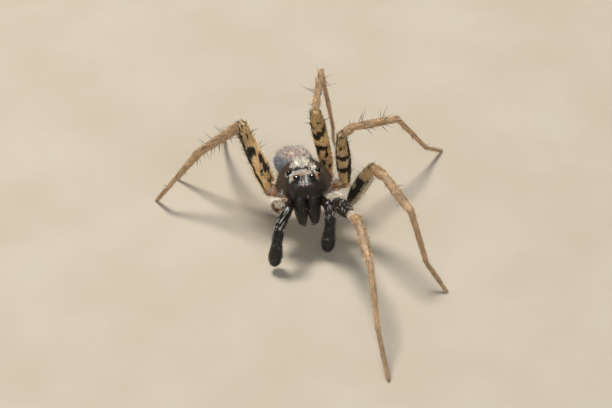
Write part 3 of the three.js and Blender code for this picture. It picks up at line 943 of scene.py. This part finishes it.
def stumpPaint(loft):
    share = loft.share
    low = unit(loft.points - fromBody(stump["end"])) @ unit((-0.8, -0.2, -0.7))
    rim = bump(share, 0.9, 0.11) * mix(0.7, 1, ease(-low, -0.6, 0.2))
    tuft = ease(share, 1.0, 1.05) * ease(-low, 0.1, 0.4)
    bare = ease(share, 0.9, 0.99) * (1 - tuft)
    look = Markings(loft, "amber")
    look.between("amber", "scab", ease(share, 1.0, 1.04) * ease(low, -0.3, 0.2))
    look.pale = np.maximum(0.4 * (1 - ease(share, 0.99, 1.04)), np.maximum(0.75 * rim, 0.95 * tuft))
    look.hairLength = 0.8 + 0.5 * rim
    look.hairDensity = (1.2 + 1.4 * rim) * (1 - 0.85 * bare)
    look.hairLift = 1 + 2.2 * rim
    return look


def jawPaint(loft):
    look = Markings(loft, "face", 0.55, hairLift=0.8)
    look.pale = 0.5 * ease(cloudiness(loft.points, 0.06, 17), 0.62, 0.8)
    look.hairDensity = 0.75 * (1 - ease(loft.share, 0.75, 0.95))
    return look


def painted(loft):
    ownPaint = {"carapace": carapacePaint, "abdomen": abdomenPaint, "stump": stumpPaint, "jaw": jawPaint}
    if loft.part in ownPaint:
        return ownPaint[loft.part](loft)
    if loft.part.startswith("palp"):
        return palpPaint(loft)
    return legPaint(loft.part, loft) if loft.segment else lowerPaint(loft)


# which parts each coat grows on; its place in this list is its region number
coatParts = {
    "coat_carapace": ("carapace", "stump", "sternum", "labium", "endite", "waist", "flank"),
    "coat_abdomen": ("abdomen", "spinneret"),
    "coat_palps": ("palp_left", "palp_right"),
    "coat_left_front_legs": ("left_1", "left_2"),
    "coat_left_rear_legs": ("left_3", "left_4"),
    "coat_right_legs": ("right_2", "right_3", "right_4"),
    "coat_jaws": ("jaw",),
}
regions = {name: number for number, name in enumerate(coatParts)}
regionOf = {part: regions[name] for name, parts in coatParts.items() for part in parts}


def skinMesh():
    lofts = trunkLofts() + limbLofts()
    mesh = unite(lofts)
    print("skin joined from", len(lofts), "lofts:", len(mesh.polygons), "faces")
    return dressed(mesh, lofts)


def store(mesh, name, kind, field, values):
    made = mesh.attributes.new(name, kind, "POINT")
    made.data.foreach_set(field, np.asarray(values, np.float32).ravel())


def dressed(mesh, lofts):  # gives a mesh the map, the paint and the lie of the lofts that it was made of
    points = np.concatenate([loft.points for loft in lofts])
    start = np.cumsum([0] + [len(loft.points) for loft in lofts])
    owners = np.repeat(np.arange(len(lofts)), [len(loft.points) for loft in lofts])
    tree = treeOf(points)
    found = np.array([tree.find(v.co)[1] for v in mesh.vertices])
    owner = owners[found]
    unwrap(mesh, lofts, owner, found - start[owner])
    looks = [painted(loft) for loft in lofts]
    tone = np.concatenate([look.tone for look in looks])[found]
    store(mesh, "tone", "FLOAT_COLOR", "color", np.column_stack([tone, np.ones(len(tone))]))
    store(mesh, "lie", "FLOAT_VECTOR", "vector", np.concatenate([loft.lie for loft in lofts])[found])
    for name in ("mark", "pale", "warm", "hairLength", "hairDensity", "hairLift"):
        values = np.concatenate([getattr(look, name) for look in looks])[found]
        store(mesh, name, "FLOAT", "value", np.clip(values, 0, 9))
    store(mesh, "region", "FLOAT", "value", np.array([regionOf[loft.part] for loft in lofts])[owner])
    mesh.polygons.foreach_set("use_smooth", np.ones(len(mesh.polygons), bool))
    mesh.set_sharp_from_angle(angle=math.radians(48))
    return mesh


# finishes
mottle = {"dark": (0.72, 0.72, 0.72, 1), "light": (1.18, 1.16, 1.12, 1)}
# the last shade lightens a few hairs and tints them blue: pale flecks with a painted sheen
hairShades = {"dark": (0.55, 0.54, 0.53, 1), "light": (1.7, 1.66, 1.6, 1), "fleckAndSheen": (1.85, 1.93, 1.98, 1)}


def markedColour(start, place, lighten, ragged):
    # the same markings for skin and coat: base tone, then dark marks, pale hair and rust hair
    mottled = noise(start, place, 0.03, 2.0, 0.6).between(0.35, 0.7)
    tone = attribute(start, "tone", "Color").tinted(mottled.blend(mottle["dark"], mottle["light"]))
    dark = (attribute(start, "mark") + (ragged - 0.5) * 0.55).between(0.38, 0.62)
    light = (attribute(start, "pale") + (ragged - 0.5) * 0.5).between(0.3, 0.6)
    glow = (attribute(start, "warm") + (ragged - 0.5) * 0.5).between(0.3, 0.62)
    colour = dark.blend(tone, (*tones["black"], 1))
    colour = (light * lighten).blend(colour, (*tones["cream"], 1))
    return (glow * lighten).blend(colour, (*tones["rust"], 1))


def skinFinish():
    material, start, shader = newMaterial("hairy_skin", Specular_IOR_Level=0.45, Coat_Roughness=0.2)
    place = objectPlace(start)
    plug(markedColour(start, place, 0.55, noise(start, place, 0.09, 3.0, 0.6)), shader, "Base Color")
    grain = noise(start, place, 0.05, 4.0, 0.65)
    region, number = attribute(start, "region"), regions["coat_palps"]
    palp = region.between(number - 0.6, number - 0.4) - region.between(number + 0.4, number + 0.6)
    plug(grain * 0.3 + 0.36 - palp * 0.2, shader, "Roughness")
    plug(palp * 0.12, shader, "Coat Weight")
    relief = start.node("ShaderNodeBump", {"Height": grain, "Strength": 0.7, "Distance": 0.02 * mm})
    plug(relief, shader, "Normal")
    return material


def coatFinish(name, gloss, rough):
    material, start, shader = newMaterial(name, Specular_IOR_Level=gloss)
    shade, chance = attribute(start, "hairTone"), attribute(start, "hairChance")
    place = objectPlace(start)
    ragged = noise(start, place, 0.09, 3.0, 0.6) * 0.6 + chance * 0.4
    colour = markedColour(start, place, 1.0, ragged)
    colour = colour.tinted(shade.blend(hairShades["dark"], hairShades["light"]))
    fleckAndSheen = chance.between(0.72, 0.78)  # about one hair in four: pale flecks with a painted sheen
    plug(fleckAndSheen.blend(colour, colour.tinted(hairShades["fleckAndSheen"])), shader, "Base Color")
    plug(shade * 0.2 + rough, shader, "Roughness")
    return material


# the coat
hairInputs = {
    "Region": "NodeSocketFloat", "Density": "NodeSocketFloat", "Length": "NodeSocketFloat",
    "Thickness": "NodeSocketFloat", "Lift": "NodeSocketFloat", "Bend": "NodeSocketFloat",
    "Scatter": "NodeSocketFloat", "Seed": "NodeSocketInt", "Material": "NodeSocketMaterial",
}
hairShape = {"swell": 0.7, "lock": 3.0, "lockScale": 3.0, "mapPatch": 0.003}


def hairTree():
    tree = bpy.data.node_groups.new("hairCoat", "GeometryNodeTree")
    tree.interface.new_socket(name="Geometry", in_out="INPUT", socket_type="NodeSocketGeometry")
    for name, kind in hairInputs.items():
        tree.interface.new_socket(name=name, in_out="INPUT", socket_type=kind)
    tree.interface.new_socket(name="Geometry", in_out="OUTPUT", socket_type="NodeSocketGeometry")
    entry = tree.nodes.new("NodeGroupInput")
    given = {name: Wire(tree, entry.outputs[name]) for name in ("Geometry", *hairInputs)}
    start = Wire(tree)

    def named(name, kind="FLOAT"):
        return start.node("GeometryNodeInputNamedAttribute", {"Name": name}, "Attribute", data_type=kind)

    def stored(geometry, name, value, kind="FLOAT", domain="POINT"):
        inputs = {"Geometry": geometry, "Name": name, "Value": value}
        return start.node("GeometryNodeStoreNamedAttribute", inputs, data_type=kind, domain=domain)

    def vector(operation, *values, output=0):
        return start.node("ShaderNodeVectorMath", enumerate(values), output, operation=operation)

    def scaled(value, factor):
        return start.node("ShaderNodeVectorMath", {0: value, "Scale": factor}, operation="SCALE")

    def chance(low, high, kind="FLOAT", salt=0):
        inputs = {"Min": low, "Max": high, "Seed": given["Seed"] + salt}
        return start.node("FunctionNodeRandomValue", inputs, data_type=kind)

    # roots, only in the wanted region
    inputs = {"A": named("region"), "B": given["Region"], "Epsilon": 0.45}
    here = start.node("FunctionNodeCompare", inputs, operation="EQUAL")
    density = given["Density"] * named("hairDensity")
    inputs = {"Mesh": given["Geometry"], "Selection": here, "Density": density, "Seed": given["Seed"]}
    roots = start.node("GeometryNodeDistributePointsOnFaces", inputs, "Points")
    normal = Wire(tree, roots.socket.node.outputs["Normal"])
    roots = stored(roots, "rootMap", named("OFBake", "FLOAT_VECTOR"), "FLOAT_VECTOR")
    roots = stored(roots, "hairTone", chance(0.0, 1.0, salt=1))
    roots = stored(roots, "hairChance", chance(0.0, 1.0, salt=5))

    # the way each hair points: along the lie, lifted, and a little its own way
    lie = named("lie", "FLOAT_VECTOR")
    upward = scaled(normal, vector("DOT_PRODUCT", lie, normal, output="Value"))
    flat = vector("NORMALIZE", vector("SUBTRACT", lie, upward))
    lift = given["Lift"] * named("hairLift") * chance(0.6, 1.4, salt=2)
    rise = scaled(normal, start.sum("SINE", lift))
    stray = scaled(chance((-1, -1, -1), (1, 1, 1), "FLOAT_VECTOR", salt=3), given["Scatter"])
    place = start.node("GeometryNodeInputPosition")
    inputs = {"Vector": place, "Scale": hairShape["lockScale"], "Detail": 1.0}
    waves = start.node("ShaderNodeTexNoise", inputs, "Color")
    lock = scaled(vector("SUBTRACT", waves, (0.5, 0.5, 0.5)), given["Scatter"] * hairShape["lock"])
    aim = vector("ADD", scaled(flat, start.sum("COSINE", lift)), rise)
    way = vector("ADD", aim, vector("ADD", stray, lock))
    turn = start.node("FunctionNodeAxesToRotation", {"Primary Axis": way, "Secondary Axis": normal})

    # one hair, a unit long: a thin cone that swells in the middle and bows back to the skin
    slim = start.sum("DIVIDE", given["Thickness"], given["Length"])
    inputs = {"Vertices": 3, "Side Segments": 2, "Radius Top": 0.0, "Radius Bottom": slim, "Depth": 1.0}
    cone = start.node("GeometryNodeMeshCone", inputs)
    apart = start.node("ShaderNodeSeparateXYZ", {0: place})
    x, y, z = (Wire(tree, s) for s in apart.socket.node.outputs)
    swell = 1 + hairShape["swell"] * z
    inputs = {"X": x * swell - given["Bend"] * z * z, "Y": y * swell, "Z": z}
    bow = start.node("ShaderNodeCombineXYZ", inputs)
    across = start.sum("DIVIDE", x * 0.985 + y * 0.17, slim) * 0.5
    patch = start.node("ShaderNodeCombineXYZ", {"X": across, "Y": z - 0.5})
    hair = stored(cone, "patch", patch, "FLOAT_VECTOR")
    hair = start.node("GeometryNodeSetPosition", {"Geometry": hair, "Position": bow})

    size = given["Length"] * named("hairLength") * chance(0.65, 1.2, salt=4)
    inputs = {"Points": roots, "Instance": hair, "Rotation": turn, "Scale": size}
    coat = start.node("GeometryNodeInstanceOnPoints", inputs)
    coat = start.node("GeometryNodeRealizeInstances", {"Geometry": coat})
    # its patch of the map is a small square at its root
    patch = scaled(named("patch", "FLOAT_VECTOR"), hairShape["mapPatch"])
    spread = vector("ADD", named("rootMap", "FLOAT_VECTOR"), patch)
    coat = stored(coat, "OFBake", spread, "FLOAT2", "CORNER")
    for name in ("rootMap", "patch", "lie", "hairLength", "hairDensity", "hairLift", "region"):
        coat = start.node("GeometryNodeRemoveAttribute", {"Geometry": coat, "Name": name})
    coat = start.node("GeometryNodeSetShadeSmooth", {"Geometry": coat})
    coat = start.node("GeometryNodeSetMaterial", {"Geometry": coat, "Material": given["Material"]})
    leave = tree.nodes.new("NodeGroupOutput")
    tree.links.new(coat.socket, leave.inputs["Geometry"])
    return tree


layerInputs = ("Density", "Length", "Thickness", "Lift", "Bend", "Scatter", "Seed")
coats = {  # slot, then a dense layer of short hairs and a thin layer of long ones
    "coat_carapace": (
        "dark_shell", (520, 0.24, 0.014, 0.3, 0.12, 0.16, 11), (30, 0.42, 0.012, 0.9, 0.2, 0.25, 12),
    ),
    "coat_abdomen": (
        "grey_coat", (760, 0.24, 0.012, 0.18, 0.14, 0.16, 21), (40, 0.34, 0.01, 0.7, 0.2, 0.25, 22),
    ),
    "coat_palps": (
        "black_shell", (240, 0.22, 0.01, 0.24, 0.12, 0.14, 31), (50, 0.36, 0.01, 0.8, 0.15, 0.2, 32),
    ),
    "coat_jaws": (
        "black_shell", (420, 0.2, 0.01, 0.35, 0.12, 0.16, 71), (50, 0.34, 0.01, 0.8, 0.15, 0.2, 72),
    ),
    "coat_left_front_legs": (
        "plain_tan", (260, 0.26, 0.012, 0.26, 0.1, 0.14, 41), (22, 0.36, 0.01, 0.95, 0.12, 0.2, 42),
    ),
    "coat_left_rear_legs": (
        "banded_tan", (260, 0.26, 0.012, 0.26, 0.1, 0.14, 51), (22, 0.36, 0.01, 0.95, 0.12, 0.2, 52),
    ),
    "coat_right_legs": (
        "banded_tan", (240, 0.26, 0.012, 0.26, 0.1, 0.14, 61), (20, 0.36, 0.01, 0.95, 0.12, 0.2, 62),
    ),
}


def grow(base, tree, layer, region, material):
    carrier = bpy.data.objects.new("carrier", base)
    scene.collection.objects.link(carrier)
    modifier = carrier.modifiers.new("hair", "NODES")
    modifier.node_group = tree
    values = {"Region": float(region), "Material": material, **dict(zip(layerInputs, layer))}
    for item in tree.interface.items_tree:
        if item.in_out == "INPUT" and item.name in values:
            modifier[item.identifier] = values[item.name]
    made = evaluated(carrier)
    bpy.data.objects.remove(carrier)
    places = np.empty(len(made.vertices) * 3, np.float32)
    made.vertices.foreach_get("co", places)
    places[2::3] = np.maximum(places[2::3], 0)  # no hair goes into the ground
    made.vertices.foreach_set("co", places)
    return made


def joined(meshes, name):
    holders = []
    for mesh in meshes:
        holder = bpy.data.objects.new(name, mesh)
        scene.collection.objects.link(holder)
        holders.append(holder)
    with bpy.context.temp_override(active_object=holders[0], selected_editable_objects=holders):
        bpy.ops.object.join()
    mesh = holders[0].data
    bpy.data.objects.remove(holders[0])
    return mesh


def addPiece(name, mesh, slot, *stoodFor, material=None):
    if material is not None:
        mesh.materials.clear()
        mesh.materials.append(material)
    mesh.transform(Matrix.Scale(mm, 4))
    piece = bpy.data.objects.new(name, mesh)
    scene.collection.objects.link(piece)
    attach(piece, "root")
    if stoodFor:
        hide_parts(*stoodFor)
    return piece


# camera, lights and floor
view = {  # degrees, millimetres and pixels
    "elevation": 40, "roll": 5.5, "distance": 170, "pixelsPerMm": 19.3, "targetPixel": (304.1, 183.4),
    "size": (612, 408), "sensorWidth": 36,
}


def addCamera():
    tilt, roll = math.radians(view["elevation"]), math.radians(view["roll"])
    back = np.array((0, -math.cos(tilt), math.sin(tilt)))
    level = np.array((1.0, 0, 0))
    upright = np.cross(level, -back)
    right = math.cos(roll) * level - math.sin(roll) * upright
    up = math.sin(roll) * level + math.cos(roll) * upright
    offset = np.array(view["size"]) / 2 - view["targetPixel"]
    aim = np.array(bodyStance["place"]) + (right * offset[0] - up * offset[1]) / view["pixelsPerMm"]
    data = bpy.data.cameras.new("camera")
    data.sensor_width = view["sensorWidth"]
    data.lens = view["pixelsPerMm"] * view["distance"] / view["size"][0] * data.sensor_width
    data.clip_start = 0.01
    data.clip_end = 10
    camera = bpy.data.objects.new("camera", data)
    place = (aim + back * view["distance"]) * mm
    turn = Matrix([right, up, back]).transposed().to_4x4()
    camera.matrix_world = Matrix.Translation(place) @ turn
    scene.collection.objects.link(camera)
    scene.camera = camera
    scene.view_settings.view_transform = "Standard"


lights = {  # way to the light, distance and width in mm, power in watts, colour
    "key": ((-0.14, 0.22, 0.96), 220, 64, 0.35, (1.0, 0.95, 0.86)),
    "fill": ((0.3, -0.9, 0.42), 400, 420, 0.52, (1.0, 0.97, 0.92)),
    "side": ((-0.9, -0.3, 0.5), 240, 140, 0.05, (0.92, 0.96, 1.0)),
    "catch": ((-0.1, 0.1, 0.98), 220, 100, 1.0, (0.96, 0.98, 1.0)),  # only for the glints
}
sky = {"colour": (0.88, 0.94, 1.0, 1), "strength": 0.16}


def addLights():
    target = Vector(bodyStance["place"]) * mm
    for name, (way, distance, width, power, colour) in lights.items():
        data = bpy.data.lights.new(name, "AREA")
        data.shape = "DISK"
        data.size = width * mm
        data.energy = power
        data.color = colour
        lamp = bpy.data.objects.new(name, data)
        away = Vector(way).normalized()
        lamp.location = target + away * distance * mm
        lamp.rotation_mode = "QUATERNION"
        lamp.rotation_quaternion = away.to_track_quat("Z", "Y")
        lamp.visible_glossy = name in ("key", "catch")
        lamp.visible_diffuse = name != "catch"
        scene.collection.objects.link(lamp)
    world = bpy.data.worlds.new("studio")
    scene.world = world
    world.use_nodes = True
    background = world.node_tree.nodes["Background"]
    background.inputs["Color"].default_value = sky["colour"]
    background.inputs["Strength"].default_value = sky["strength"]


floorLook = {"half": 700, "dark": paint(215, 203, 184), "light": paint(221, 211, 195), "patches": 6.0}


def addFloor():
    half = floorLook["half"] * mm
    mesh = bpy.data.meshes.new("floor")
    corners = [(-half, -half, 0), (half, -half, 0), (half, half, 0), (-half, half, 0)]
    mesh.from_pydata(corners, [], [(0, 1, 2, 3)])
    material, start, shader = newMaterial("floor_plaster", Roughness=0.85, Specular_IOR_Level=0.2)
    soft = noise(start, objectPlace(start), floorLook["patches"], 3.0).between(0.3, 0.7)
    plug(soft.blend((*floorLook["dark"], 1), (*floorLook["light"], 1)), shader, "Base Color")
    mesh.materials.append(material)
    floor = bpy.data.objects.new("floor", mesh)
    scene.collection.objects.link(floor)


# eyes, jaws, fangs, claws and spines
ballMade = {"sides": 32, "rings": 20}


def ballRings(centre, radius, axis):
    axis = unit(axis)
    across = unit(np.cross(axis, (0.1, 0.2, 1)))
    over = np.cross(axis, across)
    polar = np.linspace(0.04, 0.96, ballMade["rings"]) * np.pi
    angle = np.linspace(0, 2 * np.pi, ballMade["sides"], endpoint=False)
    ring = np.cos(angle)[:, None] * across + np.sin(angle)[:, None] * over
    rings = np.sin(polar)[:, None, None] * ring + np.cos(polar)[:, None, None] * axis
    lie = np.broadcast_to(axis, rings.shape).copy()
    return Loft("ball", np.asarray(centre) + radius * rings, polar / np.pi, lie)


def smoothMesh(name, points, faces):
    mesh = plainMesh(name, points, faces)
    mesh.polygons.foreach_set("use_smooth", np.ones(len(mesh.polygons), bool))
    return mesh


def gather(lofts):  # several closed skins as one mesh
    points, faces, start = [], [], 0
    for loft in lofts:
        points.append(loft.points)
        faces += [tuple(i + start for i in f) for f in loft.faces]
        start += len(loft.points)
    return np.concatenate(points), faces


def eyeFinish(name, dark, light, rough, bend):
    material, start, shader = newMaterial(
        name, Roughness=0.3, Specular_IOR_Level=0.0, Coat_Weight=1.0, Coat_Roughness=rough, Coat_IOR=bend
    )
    depth = noise(start, objectPlace(start), 0.12, 1.0)
    plug(depth.between(0.3, 0.8).blend((*dark, 1), (*light, 1)), shader, "Base Color")
    return material


def shellFinish(name, dark, light, rough):
    material, start, shader = newMaterial(
        name, Specular_IOR_Level=0.5, Coat_Weight=0.35, Coat_Roughness=0.22
    )
    place = objectPlace(start)
    grain = noise(start, place, 0.06, 4.0, 0.6)
    plug(grain.between(0.35, 0.7).blend((*dark, 1), (*light, 1)), shader, "Base Color")
    plug(grain * 0.25 + rough, shader, "Roughness")
    relief = start.node("ShaderNodeBump", {"Height": grain, "Strength": 0.6, "Distance": 0.012 * mm})
    plug(relief, shader, "Normal")
    return material


eyeGlass = {  # name, dark and light tone, roughness, how much it bends light
    "plain": ("eye_glass", paint(5, 4, 4), paint(22, 13, 9), 0.05, 1.7),
    "lateral_rear": ("eye_dull", paint(4, 3, 3), paint(12, 8, 6), 0.12, 1.3),
    # the small front eyes are painted a pale pink: a painted glint on eyes that are dark
    "median_front": ("eye_painted_glint", paint(150, 120, 120), paint(188, 158, 160), 0.14, 2.4),
}
sideNames = {1: "left", -1: "right"}


def addEyes():
    glass = {eye: eyeFinish(*settings) for eye, settings in eyeGlass.items()}
    for name, side, centre, radius, looks in eyePlaces():
        ball = ballRings(fromBody(centre), radius, np.array(looks) @ bodyAxes)
        node = f"eye_{name}_{sideNames[side]}"
        lens = smoothMesh(node, ball.points, ball.faces)
        material = glass.get(name, glass["plain"])
        addPiece(f"lens_{name}_{sideNames[side]}", lens, "eye", node, material=material)


jaws = {
    "top": (0.355, -1.7, 0.12), "tip": (0.315, -2.1, -1.28),
    "radii": ((0, 0.23), (0.1, 0.3), (0.3, 0.35), (0.55, 0.345), (0.8, 0.28), (1, 0.2)),
    "gap": 0.012, "part": 0.09, "parting": (0.75, 1.25),
    "made": {"sides": 36, "step": 0.04, "caps": (0.12, 0.08)},
}
fang = {  # from its root, for the left one
    "inset": 0.16, "radius": 0.095, "sides": 8,
    "path": (
        (0, 0, 0), (-0.02, -0.02, -0.13), (-0.07, 0.03, -0.22), (-0.15, 0.1, -0.26), (-0.22, 0.17, -0.24),
    ),
}


def jawLoft(side):
    top, tip = fromBody(mirrored(jaws["top"], side)), fromBody(mirrored(jaws["tip"], side))
    loft = pod("jaw", top, tip, jaws["radii"], (1, 0, 0), **jaws["made"])
    # the two meet on flat inner faces and part near the tips
    places = toBody(loft.points)
    inner = jaws["gap"] + jaws["part"] * ease(-places[:, 2], *jaws["parting"])
    places[:, 0] = side * np.maximum(places[:, 0] * side, inner)
    loft.points = fromBody(places)
    return loft


def jawCoatMesh():
    lofts = [jawLoft(side) for side in sideNames]
    return dressed(plainMesh("jaws", *gather(lofts)), lofts)


def addJaws(material, fangMaterial):
    for side, sideName in sideNames.items():
        loft = jawLoft(side)
        shell = smoothMesh("jaw", loft.points, loft.faces)
        addPiece(f"chelicera_{sideName}", shell, "black_shell", f"jaw_{sideName}", material=material)
        root = np.array(mirrored(jaws["tip"], side)) + (0, fang["inset"], 0)
        path = [fromBody(root + np.array(mirrored(bend, side))) for bend in fang["path"]]
        horn = hornMesh([(path, fang["radius"])], fang["sides"])
        addPiece(f"hooked_fang_{sideName}", horn, "fang", f"fang_{sideName}", material=fangMaterial)


hornTaper = {"power": 1.3, "tip": 0.06}  # how a horn thins out, and what is left of its radius at the tip


def hornRings(path, radius, sides):
    path = np.asarray(path, float)
    ways = unit(np.gradient(path, axis=0))
    across = unit(np.cross(ways[0], (0.3, 0.9, 0.2)))
    share = np.linspace(0, 1, len(path))
    angle = np.linspace(0, 2 * np.pi, sides, endpoint=False)
    rings = []
    for point, way, s in zip(path, ways, share):
        across = unit(across - way * np.dot(way, across))
        over = np.cross(way, across)
        size = radius * mix(1, hornTaper["tip"], s ** hornTaper["power"])
        rings.append(point + size * (np.cos(angle)[:, None] * across + np.sin(angle)[:, None] * over))
    rings = np.array(rings)
    return Loft("horn", rings, share, np.broadcast_to(ways[:, None], rings.shape).copy())


def hornMesh(horns, sides):
    return smoothMesh("horns", *gather([hornRings(path, radius, sides) for path, radius in horns]))


def curved(start, way, towards, length, look):
    share = np.linspace(0, 1, look["points"])[:, None]
    return start + length * (share * unit(way) + look["bow"] * share**2 * unit(towards))


claws = {
    "length": 0.16, "radius": 0.022, "spread": 0.35, "inset": 0.06, "lift": 0.05,
    "points": 6, "bow": 0.3, "sides": 6,
}
groundClearance = 0.02


def clawHorns():
    horns = []
    for joints in legChains().values():
        axis = unit(joints[-1] - joints[-2])
        across = unit(hingeOf(joints))
        flat = unit(np.array((axis[0], axis[1], 0)))
        tip = joints[-1] - axis * claws["inset"] + np.array((0, 0, claws["lift"]))
        for side in (1, -1):
            path = curved(tip, flat + side * claws["spread"] * across, (0, 0, -1), claws["length"], claws)
            path[:, 2] = np.maximum(path[:, 2], groundClearance)
            horns.append((path, claws["radius"]))
    return horns


# long spines: share of the segment's length, angle round it, length
spineRows = {
    "femur": ((0.3, 90, 0.5), (0.6, 90, 0.55), (0.85, 150, 0.45), (0.85, 30, 0.45)),
    "patella": ((0.5, 0, 0.4), (0.92, 90, 0.35)),
    "tibia": (
        (0.22, 90, 0.8), (0.64, 90, 0.8), (0.3, 0, 0.7), (0.66, 180, 0.7),
        (0.28, 248, 0.65), (0.28, 292, 0.65), (0.62, 248, 0.65), (0.62, 292, 0.65),
    ),
    "metatarsus": (
        (0.12, 248, 0.6), (0.12, 292, 0.6), (0.48, 248, 0.5), (0.48, 292, 0.5),
        (0.95, 60, 0.25), (0.95, 160, 0.25),
    ),
}
ownSpines = {  # steeper ones that only some legs have
    "right_2": {
        "tibia": ((0.03, 150, 0.8), (0.08, 71, 0.85), (0.53, 22, 0.75)),
        "femur": ((0.86, 50, 0.6), (0.62, 50, 0.65), (0.22, 60, 0.55)),
    },
    "left_4": {
        "tibia": ((0.12, 37, 1.0), (0.37, 185, 1.0)),
        "femur": ((0.84, 350, 0.5), (0.84, 170, 0.5), (0.33, 120, 0.75)),
    },
    "left_3": {"tibia": ((0.11, 150, 0.85), (0.2, 140, 0.95), (0.64, 150, 0.95))},
}
spineLook = {"radius": 0.017, "plain": 56, "steep": 76, "points": 5, "bow": -0.1, "sides": 5}
shorterSpines = {"left_1": 0.62, "left_2": 0.62}


def spineHorns():
    horns = []
    for name, joints in legChains().items():
        hinge = hingeOf(joints)
        scale = shorterSpines.get(name, 1)
        for number, kind in enumerate(segmentNames[2:6]):
            start, end = joints[number + 1], joints[number + 2]
            axis = unit(end - start)
            across = unit(hinge - axis * np.dot(axis, hinge))
            over = np.cross(axis, across)
            curve = softened(radiiOf(name, number + 2))
            own = ownSpines.get(name, {}).get(kind, ())
            rows = [(row, "plain") for row in spineRows[kind]] + [(row, "steep") for row in own]
            for (share, angle, length), slope in rows:
                out = math.cos(math.radians(angle)) * across + math.sin(math.radians(angle)) * over
                root = mix(start, end, share) + out * np.interp(share, *curve) * 0.96
                lean = math.radians(spineLook[slope])
                way = math.sin(lean) * out + math.cos(lean) * axis
                path = curved(root, way, out, length * scale, spineLook)
                path[:, 2] = np.maximum(path[:, 2], groundClearance)
                horns.append((path, spineLook["radius"]))
    return horns


# build
def addCoats(skin):
    plain, dark = coatFinish("coat_hair", 0.3, 0.42), coatFinish("dark_coat_hair", 0.06, 0.22)
    tree = hairTree()
    for name, (slot, *layers) in coats.items():
        base = jawCoatMesh() if name == "coat_jaws" else skin
        material = dark if slot == "black_shell" else plain
        mesh = joined([grow(base, tree, layer, regions[name], material) for layer in layers], name)
        print(name, len(mesh.polygons), "faces")
        addPiece(name, mesh, slot, material=material)


addCamera()
addLights()
addFloor()
skinMaterial = skinFinish()
skin = skinMesh()
addCoats(skin)
hardNodes = ("eye_", "jaw_", "fang_")
flesh = [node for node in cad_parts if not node.startswith(hardNodes)]
addPiece("skin", skin, "plain_tan", *flesh, material=skinMaterial)
addEyes()
blackShell = shellFinish("black_shell", paint(15, 11, 9), paint(34, 25, 18), 0.36)
addJaws(blackShell, shellFinish("fang_horn", paint(40, 14, 8), paint(84, 34, 16), 0.2))
spineShell = shellFinish("spine_horn", paint(38, 28, 20), paint(66, 50, 36), 0.35)
addPiece("claws", hornMesh(clawHorns(), claws["sides"]), "fang", material=spineShell)
addPiece("spines", hornMesh(spineHorns(), spineLook["sides"]), "fang", material=spineShell)
print("pieces made")
